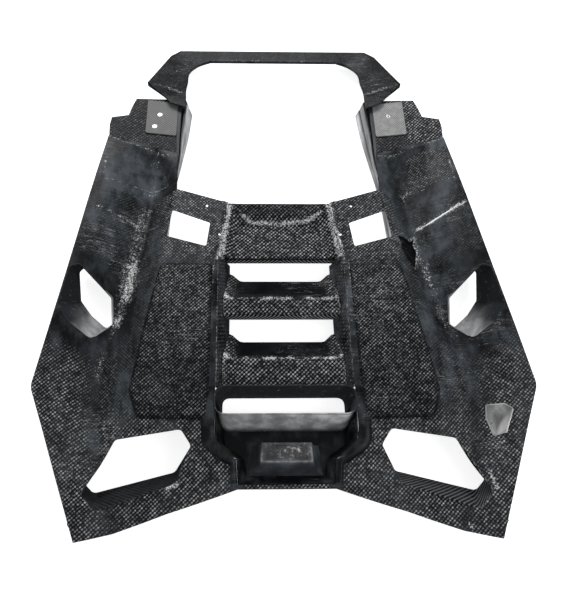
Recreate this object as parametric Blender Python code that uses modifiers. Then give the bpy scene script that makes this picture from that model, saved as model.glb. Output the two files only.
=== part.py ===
"""Rear engine cover of a mid-engined race car.

The cover lies on its outer skin with its inside up. X points to the right, Y from the tail towards
the cabin, and Z up. Outlines are written for the right half, with Y counted from the rear corners;
the left half is their mirror image. An empty moves the whole cover so that its middle is at the origin.
"""
import math

import bmesh
import bpy
from mathutils import Vector
from mathutils.bvhtree import BVHTree

# Driving dimensions, in metres
LENGTH = 1.714          # rear corners to the front of the hoop
SKIN = 0.003            # carbon laminate
GAP = 0.0003            # bond line between neighbouring pieces
JOINT = 0.0008          # bond line where two sloping skins butt
DECK = 0.110            # height of the flat deck above the floor
CORE = 0.009            # how far the sandwich panels stand above the deck
PANEL_SKIN = 0.0015     # inner skin of a sandwich panel
PANEL_BEVEL = 0.012     # width of a sandwich panel's sloping border
SPINE_X = 0.185         # half width of the spine channel at deck level
SPINE_TOP_X = 0.1810    # half width of the spine channel inside its walls, at deck level
SPINE_FLOOR_X = 0.150   # half width of the spine channel at its floor
SPINE_FLOOR = 0.040     # height of the spine channel's lower edges
POCKET_FLOOR = 0.022    # height of the latch pocket's floor
FLANGE_STEP = 0.004     # joggle between an arm and its end flange
PLATE = 0.004           # hinge plate thickness
BACKING = 0.006         # thickness of the backing blocks
BACKING_INSET = 0.010   # how far a hinge backing block's edges lie inside its plate's
HOOP_Z = 0.050          # height of the hoop's bar
HOOP_BACK = 1.657       # rear edge of the hoop's bar
HOOP_CORNER = 0.2286    # where the bar meets its legs
BELOW = -0.02           # cutters reach from here
ABOVE = 0.30            # to here
SMALL_HOLE = 0.003      # radius of the small fixing holes
CORNER = 0.006          # corner radius of the plates, backing blocks, windows and cup
DUCT_CORNER = 0.010     # corner radius of a side duct
VENT_CORNER = 0.014     # corner radius of a rear vent
PANEL_CORNER = 0.016    # corner radius of a sandwich panel's base
PANEL_TOP_CORNER = 0.010
CORE_CORNER = 0.008     # corner radius of a foam core

# The main shell: six rails from just past the centreline to the outer edge, each with a point at eight
# stations from the tail to the front flange.
PAST = -0.010
CENTRE_RAIL = [(PAST, 0.133, 0.050), (PAST, 0.20, 0.085), (PAST, 0.28, DECK), (PAST, 0.377, DECK),
               (PAST, 0.53, DECK), (PAST, 0.70, DECK), (PAST, 0.86, DECK), (PAST, 0.984, DECK)]
SPINE_RAIL = [(0.126, 0.131, 0.050), (0.135, 0.20, 0.085), (0.190, 0.28, DECK), (0.190, 0.377, DECK),
              (0.190, 0.53, DECK), (0.188, 0.70, DECK), (0.176, 0.86, DECK), (0.160, 0.985, DECK)]
PANEL_RAIL = [(0.300, 0.070, 0.065), (0.330, 0.15, 0.085), (0.400, 0.285, DECK), (0.424, 0.377, DECK),
              (0.403, 0.53, DECK), (0.375, 0.70, DECK), (0.343, 0.86, DECK), (0.316, 1.036, DECK)]
CREASE_RAIL = [(0.428, 0.021, 0.085), (0.470, 0.14, 0.085), (0.500, 0.28, 0.085), (0.507, 0.40, 0.078),
               (0.494, 0.54, 0.062), (0.452, 0.70, 0.055), (0.415, 0.86, 0.050), (0.400, 1.0, 0.050)]
BORDER_RAIL = [(0.485, 0.007, 0.093), (0.528, 0.152, 0.107), (0.573, 0.28, 0.121), (0.606, 0.38, 0.130),
               (0.584, 0.532, 0.139), (0.562, 0.70, 0.139), (0.541, 0.86, 0.135), (0.523, 1.0, 0.131)]
EDGE_RAIL = [(0.515, 0, 0.100), (0.573, 0.15, 0.115), (0.622, 0.28, 0.130), (0.660, 0.377, 0.140),
             (0.634, 0.532, 0.150), (0.610, 0.70, 0.150), (0.590, 0.86, 0.145), (0.573, 1.0, 0.140)]

# Openings of the right half, as seen from above; the spine's runs from the tail's middle to the front
SPINE_HALF = [(0.0, 0.1415), (0.1260, 0.1415), (0.1297, 0.1990), (0.1437, 0.2070), (SPINE_X, 0.2445),
              (SPINE_X, 0.785), (0.1545, 0.990), (0.1545, 1.100), (0.0, 1.100)]
SIDE_DUCT_TOP = [(0.619, 0.613), (0.600, 0.735), (0.577, 0.745), (0.488, 0.669),
                 (0.483, 0.590), (0.532, 0.533), (0.587, 0.565)]
SIDE_DUCT_LOW = [(0.590, 0.665), (0.580, 0.765), (0.557, 0.775), (0.470, 0.690),
                 (0.468, 0.612), (0.508, 0.580), (0.560, 0.622)]
SIDE_DUCT_Z = 0.020
TRIM_Z = -0.002         # pieces that stand on the floor start here and are trimmed at height 0
COLLAR = 0.0150         # straight length of a duct where it passes through the shell
VENT_TOP = [(0.511, 0.109), (0.440, 0.249), (0.271, 0.272), (0.244, 0.232), (0.287, 0.139), (0.473, 0.072)]
VENT_LOW = [(0.503, 0.152), (0.428, 0.282), (0.272, 0.300), (0.250, 0.262), (0.297, 0.180), (0.477, 0.124)]
WINDOW = [(0.210, 0.910), (0.220, 0.826), (0.339, 0.862), (0.327, 0.958)]
SMALL_HOLES = [(0.221, 0.972), (0.181, 0.866)]
CUP_TOP = [(0.530, 0.339), (0.524, 0.300), (0.533, 0.249), (0.565, 0.256), (0.592, 0.318), (0.574, 0.335)]
CUP_LOW = [(0.536, 0.331), (0.531, 0.300), (0.537, 0.258), (0.556, 0.263), (0.570, 0.305), (0.560, 0.325)]
CUP_DEPTH = 0.035
CUP_SCREW = (0.548, 0.292)
SCREW_RADIUS = 0.006
SCREW_HEIGHT = 0.004
PANEL = [(0.203, 0.295), (0.388, 0.300), (0.412, 0.377), (0.391, 0.53), (0.363, 0.70), (0.350, 0.765),
         (0.197, 0.765)]

# The spine, as (y, z) profiles from back to front
WALL_STATIONS = (0.3872, 0.53, 0.66, 0.7875)
BOX_PROFILE = [(0.789, 0.045), (0.790, 0.080), (0.796, 0.085), (0.915, 0.080), (0.945, 0.100), (0.984, 0.104)]
BOX_BACK_Y, BOX_BACK_X = 0.785, 0.1838      # where the box's sides start, and its half width there
BOX_FRONT_Y, BOX_FRONT_X = 0.990, 0.1541    # where they end
BOX_FLAT = 0.78                             # share of the box's width between its two folds
BOX_EDGE_Z = DECK - 0.004                   # height of the box's raised side edges
SLAT_FLAT = 0.8                             # share of a slat's width between its two folds
FRONT_SLAT = [(0.609, 0.045), (0.610, 0.078), (0.616, 0.083), (0.661, 0.086), (0.674, 0.080), (0.733, 0.045)]
REAR_SLAT = [(0.3868, 0.084), (0.474, 0.087), (0.487, 0.081), (0.536, 0.045)]
DUCT_TOP_Z = 0.115
DUCT_LOW_Z = 0.016
DUCT_FAR = 0.386
DUCT_NEAR_TOP = 0.312
DUCT_NEAR_LOW = 0.290
DUCT_RADIUS = 0.028

# Pocket behind the duct, from its front end round to the tail
POCKET_TOP = [(0.1843, 0.300), (0.1843, 0.245), (0.143, 0.208), (0.129, 0.200), (0.1254, 0.1426)]
POCKET_LOW = [(0.166, 0.2890), (0.160, 0.250), (0.122, 0.224), (0.110, 0.214), (0.102, 0.172)]
LATCH_BASE = [(-0.078, 0.176), (0.078, 0.176), (0.072, 0.246), (-0.072, 0.246)]
LATCH_TOP = [(-0.066, 0.194), (0.066, 0.194), (0.064, 0.240), (-0.064, 0.240)]
LATCH_TOP_Z = 0.080     # height of the lid's rear edge
LATCH_RISE = 0.012      # rise of the lid towards the front
LATCH_EDGE = 0.005      # bevel of the box's edges
LATCH_BACKING = [(-0.060, 0.186), (0.060, 0.186), (0.060, 0.236), (-0.060, 0.236)]

# Arms: rails from the inner edge to the outer edge, each with a point at three stations
ARM_INNER = [(0.316, 1.036 + JOINT, DECK), (0.318, 1.12, 0.110), (0.322, 1.195, 0.0976)]
ARM_CREASE = [(0.400, 1.0 + JOINT, 0.050), (0.393, 1.10, 0.056), (0.388, 1.205, 0.1070)]
ARM_BORDER = [(0.523, 1.0 + JOINT, 0.131), (0.508, 1.11, 0.127), (0.492, 1.228, 0.1219)]
ARM_EDGE = [(0.573, 1.0 + JOINT, 0.140), (0.557, 1.12, 0.135), (0.540, 1.242, 0.1288)]
FLANGE_OUTLINE = [(0.3225, 1.1965), (0.388, 1.2065), (0.492, 1.2295), (0.541, 1.2435), (0.543, 1.284),
                  (0.539, 1.316), (0.487, 1.333), (0.480, 1.363), (0.466, 1.409), (0.340, 1.423),
                  (0.326, 1.30)]
FLANGE_TILT = 0.143     # rise of the arm end towards its outer edge
FLANGE_HEIGHT = 0.0515  # height of the flange's plane at the centreline
PLATE_BOX = (0.329, 1.262, 0.428, 1.404)
LEFT_INSERTS = [(0.386, 1.345), (0.400, 1.292)]
RIGHT_INSERTS = [(0.378, 1.345)]
INSERT_RADIUS = 0.008
INSERT_BORE = 0.004

# Hoop legs: inner and outer rails from the arm to the bar, with the depth of the turned lip
LEG_INNER = [(0.299, 1.372, 0.1150), (0.303, 1.430, 0.106), (0.306, 1.482, 0.088), (0.303, 1.530, 0.074),
             (0.297, 1.580, 0.062), (0.262, 1.620, HOOP_Z), (HOOP_CORNER, HOOP_BACK, HOOP_Z)]
LEG_OUTER = [(0.354, 1.392, 0.1165), (0.376, 1.422, 0.117), (0.439, 1.503, 0.100), (0.405, 1.594, 0.077),
             (0.371, 1.682, 0.056), (0.338, LENGTH, HOOP_Z), (HOOP_CORNER, LENGTH, HOOP_Z)]
LEG_LIP = [0.002, 0.008, 0.020, 0.020, 0.020, 0.020, 0.020]

# Inner walls between the hoop and the deck
WALL_TOP = [(0.304, 1.415, 0.098), (0.313, 1.275, 0.093), (0.315, 1.180, 0.092), (0.325, 1.090, 0.092),
            (0.336, 1.000, 0.090), (0.341, 0.900, 0.088)]
WALL_LOW = [(0.291, 1.440, TRIM_Z), (0.300, 1.340, TRIM_Z), (0.318, 1.225, TRIM_Z), (0.335, 1.120, TRIM_Z),
            (0.345, 1.020, TRIM_Z), (0.349, 0.930, TRIM_Z)]

CARBON = (0.020, 0.021, 0.023)
GLOSS_BLACK = (0.012, 0.012, 0.013)
GREY_RESIN = (0.30, 0.31, 0.32)
PALE_GREY = (0.46, 0.46, 0.45)
FOAM = (0.72, 0.66, 0.45)
STEEL = (0.55, 0.55, 0.56)


def new_collection(name):
    collection = bpy.data.collections.new(name)
    bpy.context.scene.collection.children.link(collection)
    return collection


def finish_material(name, colour, roughness, metallic):
    material = bpy.data.materials.new(name)
    material.use_nodes = True
    shader = material.node_tree.nodes["Principled BSDF"]
    shader.inputs["Base Color"].default_value = (*colour, 1.0)
    shader.inputs["Roughness"].default_value = roughness
    shader.inputs["Metallic"].default_value = metallic
    return material


def add_part(name, mesh, colour, roughness=0.4, metallic=0.0):
    """Links a mesh as one named sub-part with its own material."""
    part = bpy.data.objects.new(name, mesh)
    mesh.materials.append(finish_material(name + "_finish", colour, roughness, metallic))
    parts.objects.link(part)
    part.parent = cover
    return part


def add_cutter(name, mesh):
    cutter = bpy.data.objects.new(name, mesh)
    cutters.objects.link(cutter)
    cutter.parent = cover
    cutter.hide_render = True
    cutter.display_type = "WIRE"
    return cutter


def cut(part, cutter):
    modifier = part.modifiers.new("cut_" + cutter.name, "BOOLEAN")
    modifier.operation = "DIFFERENCE"
    modifier.solver = "EXACT"
    modifier.object = cutter


def thicken(part, thickness, offset=-1.0):
    """Gives a surface its thickness: behind its faces, or in front of them where the offset is 1."""
    modifier = part.modifiers.new("skin", "SOLIDIFY")
    modifier.thickness = thickness
    modifier.offset = offset
    modifier.use_even_offset = True


def mirrored(points, side):
    """The same points on the right (side 1) or left (side -1) half."""
    return [(side * point[0], *point[1:]) for point in points]


def at_height(outline, z):
    return [(x, y, z) for x, y in outline]


def loft(name, rails, side=1, closed=False, cap=False):
    """A surface through rails of equal length. It faces up where rails go outwards and stations forwards.

    With a cap, the first rail's loop is filled as well.
    """
    bm = bmesh.new()
    rows = [[bm.verts.new(point) for point in mirrored(rail, side)] for rail in rails]
    count = len(rows[0])
    steps = count if closed else count - 1
    for inner, outer in zip(rows, rows[1:]):
        for j in range(steps):
            k = (j + 1) % count
            corners = [inner[j], outer[j], outer[k], inner[k]]
            bm.faces.new(corners if side > 0 else corners[::-1])
    if cap:
        bm.faces.new(rows[0])
        bmesh.ops.recalc_face_normals(bm, faces=bm.faces)
        if sum(face.normal.z for face in bm.faces) < 0:
            bmesh.ops.reverse_faces(bm, faces=bm.faces)
    mesh = bpy.data.meshes.new(name)
    bm.to_mesh(mesh)
    bm.free()
    return mesh


def sheet(name, outline, height, side=1):
    """A flat-filled outline lifted to height(x, y), facing up."""
    bm = bmesh.new()
    corners = [bm.verts.new((side * x, y, height(x, y))) for x, y in outline]
    bm.faces.new(corners if side > 0 else corners[::-1])
    mesh = bpy.data.meshes.new(name)
    bm.to_mesh(mesh)
    bm.free()
    return mesh


def slab(name, outlines, low, high, side=1):
    """A closed slab between two heights, from a filled 2D curve of one or more outlines."""
    curve = bpy.data.curves.new(name, "CURVE")
    curve.dimensions = "2D"
    curve.fill_mode = "BOTH"
    curve.extrude = (high - low) / 2
    for outline in outlines:
        spline = curve.splines.new("POLY")
        spline.points.add(len(outline) - 1)
        for point, (x, y) in zip(spline.points, outline):
            point.co = (side * x, y, 0.0, 1.0)
        spline.use_cyclic_u = True
    holder = bpy.data.objects.new(name + "_curve", curve)
    bpy.context.scene.collection.objects.link(holder)
    bpy.context.view_layer.update()
    evaluated = holder.evaluated_get(bpy.context.evaluated_depsgraph_get())
    mesh = bpy.data.meshes.new_from_object(evaluated)
    bm = bmesh.new()
    bm.from_mesh(mesh)
    bmesh.ops.remove_doubles(bm, verts=bm.verts, dist=0.00001)
    bmesh.ops.translate(bm, verts=bm.verts, vec=(0.0, 0.0, (high + low) / 2))
    bmesh.ops.recalc_face_normals(bm, faces=bm.faces)
    if bm.calc_volume(signed=True) < 0:
        bmesh.ops.reverse_faces(bm, faces=bm.faces)
    bm.to_mesh(mesh)
    bm.free()
    bpy.data.objects.remove(holder)
    bpy.data.curves.remove(curve)
    return mesh


def closed_block(name, low_ring, high_ring):
    """A closed block between two rings that run anticlockwise as seen from above."""
    bm = bmesh.new()
    low = [bm.verts.new(point) for point in low_ring]
    high = [bm.verts.new(point) for point in high_ring]
    for j in range(len(low)):
        k = (j + 1) % len(low)
        bm.faces.new((low[j], low[k], high[k], high[j]))
    bm.faces.new(high)
    bm.faces.new(low[::-1])
    mesh = bpy.data.meshes.new(name)
    bm.to_mesh(mesh)
    bm.free()
    return mesh


def block(name, outline, low, high, side=1):
    """A closed block over an anticlockwise outline, between two heights."""
    ring = mirrored(outline, side)[::side]
    return closed_block(name, at_height(ring, low), at_height(ring, high))


def circle(x, y, radius, sides=16):
    return [(x + radius * math.cos(turn), y + radius * math.sin(turn))
            for turn in (2 * math.pi * i / sides for i in range(sides))]


def inset(outline, distance):
    """An anticlockwise outline moved inwards by a distance."""
    moved = []
    for i, corner in enumerate(outline):
        here = Vector(corner)
        before = (here - Vector(outline[i - 1])).normalized()
        after = (Vector(outline[(i + 1) % len(outline)]) - here).normalized()
        normal_before = Vector((-before.y, before.x))
        normal_after = Vector((-after.y, after.x))
        middle = (normal_before + normal_after).normalized()
        moved.append(tuple(here + middle * (distance / middle.dot(normal_before))))
    return moved


def round_corners(outline, radius, steps=3):
    """An outline with each corner replaced by an arc."""
    rounded = []
    for i, corner in enumerate(outline):
        here = Vector(corner)
        back = Vector(outline[i - 1]) - here
        ahead = Vector(outline[(i + 1) % len(outline)]) - here
        half = back.angle(ahead) / 2
        reach = min(radius / math.tan(half), 0.45 * back.length, 0.45 * ahead.length)
        centre = here + (back.normalized() + ahead.normalized()).normalized() * reach / math.cos(half)
        start = here + back.normalized() * reach - centre
        end = here + ahead.normalized() * reach - centre
        sweep = start.angle_signed(end)
        for step in range(steps + 1):
            turn = -sweep * step / steps
            spin = Vector((start.x * math.cos(turn) - start.y * math.sin(turn),
                           start.x * math.sin(turn) + start.y * math.cos(turn)))
            rounded.append(tuple(centre + spin))
    return rounded


def height_of(mesh):
    """A function that gives the height of an upward-facing surface over a place."""
    tree = BVHTree.FromPolygons([v.co for v in mesh.vertices], [p.vertices for p in mesh.polygons])

    def height(x, y):
        place = tree.ray_cast(Vector((abs(x), y, 1.0)), Vector((0.0, 0.0, -1.0)))[0]
        return place.z

    return height


def flange_height(x, _y):
    return FLANGE_HEIGHT + FLANGE_TILT * abs(x)


def wall_reach(z):
    """Half width that fits the spine channel at a height, just clear of its sloping walls."""
    part_way = (z - SPINE_FLOOR) / (DECK - SPINE_FLOOR)
    return SPINE_FLOOR_X + part_way * (SPINE_TOP_X - SPINE_FLOOR_X) - 2 * GAP


for old in list(bpy.data.objects):
    bpy.data.objects.remove(old)

parts = new_collection("rear_engine_cover")
cutters = new_collection("cutters")
cover = bpy.data.objects.new("cover_origin", None)
bpy.context.scene.collection.objects.link(cover)
cover.location = (0.0, -LENGTH / 2, 0.0)


# Cutters
half_rails = [CENTRE_RAIL, SPINE_RAIL, PANEL_RAIL, CREASE_RAIL, BORDER_RAIL, EDGE_RAIL]
half_surface = loft("half_surface", half_rails)
shell_height = height_of(half_surface)

floor_cutter = add_cutter("floor", slab("floor", [[(-1, -0.5), (1, -0.5), (1, 2), (-1, 2)]], -0.10, 0.0))
spine_outline = SPINE_HALF + [(-x, y) for x, y in SPINE_HALF[-2:0:-1]]
half_cutters = [add_cutter("spine_opening", slab("spine_opening", [spine_outline], BELOW, ABOVE))]
for name, outline, radius in (("side_duct_opening", SIDE_DUCT_TOP, DUCT_CORNER),
                              ("vent_opening", VENT_TOP, VENT_CORNER),
                              ("window_opening", WINDOW, CORNER)):
    half_cutters.append(add_cutter(name, slab(name, [round_corners(outline, radius)], BELOW, ABOVE)))
for number, (x, y) in enumerate(SMALL_HOLES, 1):
    name = f"small_hole_{number}"
    half_cutters.append(add_cutter(name, slab(name, [circle(x, y, SMALL_HOLE, 12)], BELOW, ABOVE)))
cup_cutter = add_cutter("cup_opening", slab("cup_opening", [round_corners(CUP_TOP, CORNER)], BELOW, ABOVE))


# Main shell: the right half reaches a little past the middle plane, where the mirror cuts it off
shell = add_part("main_shell", half_surface, CARBON, 0.38)
thicken(shell, SKIN)
shell.modifiers.new("flat_faces", "TRIANGULATE")
for cutter in half_cutters:
    cut(shell, cutter)
mirror = shell.modifiers.new("other_half", "MIRROR")
mirror.use_bisect_axis = (True, False, False)
mirror.merge_threshold = 0.0001
cut(shell, cup_cutter)


# Sandwich panels and their foam cores
def sandwich_panel(hand, side):
    base = round_corners(PANEL, PANEL_CORNER)
    top = round_corners(inset(PANEL, PANEL_BEVEL), PANEL_TOP_CORNER)
    rings = [at_height(top, DECK + CORE), at_height(base, DECK + GAP + PANEL_SKIN)]
    mesh = loft(hand + "_core_panel", rings, side, closed=True, cap=True)
    panel = add_part(hand + "_core_panel", mesh, CARBON, 0.42)
    thicken(panel, PANEL_SKIN)
    core = round_corners(inset(PANEL, PANEL_BEVEL + 2 * PANEL_SKIN), CORE_CORNER)
    low = DECK + GAP
    high = DECK + CORE - PANEL_SKIN - GAP
    add_part(hand + "_foam_core", block(hand + "_foam_core", core, low, high, side), FOAM, 0.9)


# Spine: box, side walls and slats
def across(name, profile, colour, roughness):
    """A louvre piece that spans the spine channel, its ends fitted to the channel's sloping walls."""
    shares = (-1, -SLAT_FLAT, SLAT_FLAT, 1)
    rails = [[(share * wall_reach(z - SKIN), y, z) for y, z in profile] for share in shares]
    piece = add_part(name, loft(name, rails), colour, roughness)
    thicken(piece, SKIN)
    return piece


def spine_wall(hand, side):
    low = [(SPINE_FLOOR_X, y, SPINE_FLOOR) for y in WALL_STATIONS]
    high = [(SPINE_TOP_X, y, DECK) for y in WALL_STATIONS]
    mesh = loft(hand + "_spine_wall", [low, high], side)
    thicken(add_part(hand + "_spine_wall", mesh, CARBON, 0.30), SKIN)


def spine_box():
    """Its sides rise to the deck along the edge of the spine opening."""
    rails = []
    for share in (-1.0, -BOX_FLAT, BOX_FLAT, 1.0):
        rail = []
        for y, z in BOX_PROFILE:
            part_way = (y - BOX_BACK_Y) / (BOX_FRONT_Y - BOX_BACK_Y)
            reach = BOX_BACK_X + (BOX_FRONT_X - BOX_BACK_X) * part_way
            rail.append((share * reach, y, z if abs(share) < 1 else max(z, BOX_EDGE_Z)))
        rails.append(rail)
    thicken(add_part("spine_box", loft("spine_box", rails), CARBON, 0.40), SKIN)


# Rear duct, latch pocket and latch box
def rear_duct():
    reach = SPINE_X - 2 * GAP
    top = [(-reach, DUCT_NEAR_TOP), (reach, DUCT_NEAR_TOP), (reach, DUCT_FAR), (-reach, DUCT_FAR)]
    low = [(-reach, DUCT_NEAR_LOW), (reach, DUCT_NEAR_LOW), (reach, DUCT_FAR), (-reach, DUCT_FAR)]
    rings = [at_height(round_corners(top, DUCT_RADIUS, 5), DUCT_TOP_Z),
             at_height(round_corners(low, DUCT_RADIUS, 5), DUCT_LOW_Z)]
    piece = add_part("rear_duct", loft("rear_duct", rings, closed=True), GREY_RESIN, 0.30)
    thicken(piece, SKIN)


def latch_pocket():
    top = [(x, y, shell_height(x, min(y, 0.28)) - GAP) for x, y in POCKET_TOP]
    low = at_height(POCKET_LOW, POCKET_FLOOR)
    around_top = mirrored(top, -1) + top[::-1]
    around_low = mirrored(low, -1) + low[::-1]
    mesh = loft("latch_pocket", [around_low, around_top], cap=True)
    thicken(add_part("latch_pocket", mesh, GLOSS_BLACK, 0.28), SKIN, 1.0)


def latch_box():
    low = at_height(LATCH_BASE, POCKET_FLOOR + SKIN + GAP)
    rear_y = LATCH_TOP[0][1]
    depth = LATCH_TOP[-1][1] - rear_y
    high = [(x, y, LATCH_TOP_Z + LATCH_RISE * (y - rear_y) / depth) for x, y in LATCH_TOP]
    box = add_part("latch_box", closed_block("latch_box", low, high), GREY_RESIN, 0.5)
    bevel = box.modifiers.new("edges", "BEVEL")
    bevel.width = LATCH_EDGE
    bevel.segments = 2
    high_z = POCKET_FLOOR - GAP
    mesh = block("latch_backing", round_corners(LATCH_BACKING, CORNER), high_z - BACKING, high_z)
    add_part("latch_backing", mesh, STEEL, 0.4, 1.0)


# Scoops in the flanks and returns round the rear vents
def tube(name, top_outline, low_outline, low_z, radius, colour, side, trim=False):
    """A thin-walled duct: a straight collar in the shell's opening, then a slope to its lower outline."""
    top = [(x, y, shell_height(x, y)) for x, y in round_corners(inset(top_outline, 2 * GAP), radius)]
    collar = [(x, y, z - COLLAR) for x, y, z in top]
    low = at_height(round_corners(low_outline, radius), low_z)
    piece = add_part(name, loft(name, [top, collar, low], side, closed=True), colour, 0.35)
    thicken(piece, SKIN)
    if trim:
        cut(piece, floor_cutter)


def recess_cup():
    top = [(x, y, shell_height(x, y)) for x, y in round_corners(inset(CUP_TOP, 2 * GAP), CORNER)]
    floor_z = min(point[2] for point in top) - CUP_DEPTH
    low = at_height(round_corners(CUP_LOW, CORNER), floor_z)
    mesh = loft("recess_cup", [low, top], closed=True, cap=True)
    cup = add_part("recess_cup", mesh, PALE_GREY, 0.45)
    thicken(cup, SKIN, 1.0)
    low_z = floor_z + SKIN + GAP
    head = block("cup_screw", circle(*CUP_SCREW, SCREW_RADIUS), low_z, low_z + SCREW_HEIGHT)
    add_part("cup_screw", head, STEEL, 0.35, 1.0)


# Arms, their end flanges and the hinge plates
def arm(hand, side):
    rails = [ARM_INNER, ARM_CREASE, ARM_BORDER, ARM_EDGE]
    mesh = loft(hand + "_arm_channel", rails, side)
    thicken(add_part(hand + "_arm_channel", mesh, CARBON, 0.40), SKIN)
    name = hand + "_arm_end_flange"
    mesh = sheet(name, FLANGE_OUTLINE, lambda x, y: flange_height(x, y) - FLANGE_STEP, side)
    thicken(add_part(name, mesh, CARBON, 0.38), SKIN)


def tilted(mesh):
    """Moves a slab made round height 0 onto the tilted plane of the arm end."""
    for vertex in mesh.vertices:
        vertex.co.z += flange_height(vertex.co.x, 0)
    return mesh


def hinge_plate(hand, side, inserts):
    x0, y0, x1, y1 = PLATE_BOX
    corners = [(x0, y0), (x1, y0), (x1, y1), (x0, y1)]
    outline = round_corners(corners, CORNER)
    bores = [circle(x, y, INSERT_RADIUS + GAP) for x, y in inserts]
    low = -FLANGE_STEP + GAP
    name = hand + "_hinge_plate"
    add_part(name, tilted(slab(name, [outline, *bores], low, low + PLATE, side)), PALE_GREY, 0.5)
    name = hand + "_hinge_backing"
    backing = round_corners(inset(corners, BACKING_INSET), CORNER)
    high = -FLANGE_STEP - SKIN - 2 * GAP
    add_part(name, tilted(block(name, backing, high - BACKING, high, side)), STEEL, 0.4, 1.0)
    for number, (x, y) in enumerate(inserts, 1):
        name = f"{hand}_hinge_insert_{number}"
        mesh = slab(name, [circle(x, y, INSERT_RADIUS), circle(x, y, INSERT_BORE)], low, low + PLATE, side)
        add_part(name, tilted(mesh), STEEL, 0.3, 1.0)


# Hoop and inner walls
def hoop_bar():
    reach = HOOP_CORNER - 2 * GAP
    lip = LEG_LIP[-1]
    rails = [[(x, HOOP_BACK, HOOP_Z - lip), (x, HOOP_BACK, HOOP_Z), (x, LENGTH, HOOP_Z),
              (x, LENGTH, HOOP_Z - lip)] for x in (-reach, 0.0, reach)]
    thicken(add_part("hoop_bar", loft("hoop_bar", rails), CARBON, 0.38), SKIN)


def hoop_leg(hand, side):
    inner_lip = [(x, y, z - lip) for (x, y, z), lip in zip(LEG_INNER, LEG_LIP)]
    outer_lip = [(x, y, z - lip) for (x, y, z), lip in zip(LEG_OUTER, LEG_LIP)]
    mesh = loft(hand + "_hoop_leg", [inner_lip, LEG_INNER, LEG_OUTER, outer_lip], side)
    thicken(add_part(hand + "_hoop_leg", mesh, CARBON, 0.38), SKIN)


def inner_wall(hand, side):
    mesh = loft(hand + "_inner_wall", [WALL_LOW, WALL_TOP], side)
    wall = add_part(hand + "_inner_wall", mesh, GREY_RESIN, 0.25)
    thicken(wall, SKIN)
    cut(wall, floor_cutter)


spine_box()
across("front_slat", FRONT_SLAT, CARBON, 0.36)
across("rear_slat", REAR_SLAT, CARBON, 0.36)
rear_duct()
latch_pocket()
latch_box()
recess_cup()
hoop_bar()
for side, hand, inserts in ((-1, "left", LEFT_INSERTS), (1, "right", RIGHT_INSERTS)):
    sandwich_panel(hand, side)
    spine_wall(hand, side)
    tube(hand + "_side_duct", SIDE_DUCT_TOP, SIDE_DUCT_LOW, SIDE_DUCT_Z, DUCT_CORNER, GREY_RESIN, side)
    tube(hand + "_vent_return", VENT_TOP, VENT_LOW, TRIM_Z, VENT_CORNER, CARBON, side, trim=True)
    arm(hand, side)
    hinge_plate(hand, side, inserts)
    hoop_leg(hand, side)
    inner_wall(hand, side)
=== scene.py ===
"""Rear engine cover of a mid-engined race car, inside up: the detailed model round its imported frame.

Outlines are written for the right half, with Y counted from the rear corners of the cover. The pieces
are moved into the frame's own coordinates as they are made.
"""
import math
from contextlib import contextmanager

import bmesh
import bpy
import numpy as np
from mathutils import Matrix, Vector
from mathutils.geometry import delaunay_2d_cdt


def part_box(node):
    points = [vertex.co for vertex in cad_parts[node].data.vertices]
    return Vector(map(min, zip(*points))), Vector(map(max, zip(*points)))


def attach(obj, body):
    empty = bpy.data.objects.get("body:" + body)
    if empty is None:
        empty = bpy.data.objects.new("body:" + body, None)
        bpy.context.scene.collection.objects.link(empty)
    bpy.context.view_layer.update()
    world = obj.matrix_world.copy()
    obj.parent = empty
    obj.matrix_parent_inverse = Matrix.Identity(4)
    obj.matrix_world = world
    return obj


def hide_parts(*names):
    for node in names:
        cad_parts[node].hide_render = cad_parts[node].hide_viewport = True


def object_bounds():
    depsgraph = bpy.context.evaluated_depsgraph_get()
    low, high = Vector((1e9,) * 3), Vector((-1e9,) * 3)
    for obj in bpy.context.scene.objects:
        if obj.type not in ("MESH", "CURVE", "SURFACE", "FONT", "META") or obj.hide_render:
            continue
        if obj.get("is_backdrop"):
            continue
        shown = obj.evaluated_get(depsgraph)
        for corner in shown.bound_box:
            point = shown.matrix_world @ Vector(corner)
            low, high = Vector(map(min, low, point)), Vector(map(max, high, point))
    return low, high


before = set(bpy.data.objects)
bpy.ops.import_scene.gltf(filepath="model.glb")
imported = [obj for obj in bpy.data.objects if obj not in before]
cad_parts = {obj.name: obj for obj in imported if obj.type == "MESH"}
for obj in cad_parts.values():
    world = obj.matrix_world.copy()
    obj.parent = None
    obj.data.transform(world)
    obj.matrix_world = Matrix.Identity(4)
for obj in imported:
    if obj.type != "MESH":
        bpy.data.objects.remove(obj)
cad_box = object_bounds()

bl_info = {
    "name": "Rear Engine Cover",
    "version": (1, 0, 0),
    "blender": (4, 5, 0),
    "location": "3D View > Sidebar > Engine Cover",
    "description": "Builds a bare carbon rear engine cover piece by piece",
    "category": "Object",
}

SIDES = (("left", -1), ("right", 1))

TAIL = cad_box[0][1]        # where the rear corners stand in the frame
SKIN = 0.003                # carbon laminate
THIN_PLY = 0.001
GAP = 0.0003                # bond line between two pieces
DUCT_GAP = 0.0006           # between a duct and the opening that it hangs in
DECK = 0.110                # height of the flat deck
CORE = 0.009                # how far the sandwich panels stand above the deck
PANEL_BEVEL = 0.012
PANEL_FOOT = 0.0018         # where the panels' bevel starts above the deck
SPINE_X = 0.185
SPINE_TOP_X = 0.181
SPINE_FLOOR_X = 0.150
SPINE_FLOOR = 0.040
POCKET_FLOOR = 0.022
FLANGE_STEP = 0.004
PLATE = 0.004
HOOP_FRONT = 1.714
HOOP_BACK = 1.657
HOOP_Z = 0.050
HOOP_CORNER = 0.2286
FLANK_CORNER = 0.05
DUCT_CORNER = 0.012
VENT_CORNER = 0.014
WINDOW_CORNER = 0.006
CUP_CORNER = 0.006
PANEL_CORNER = 0.020
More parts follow.
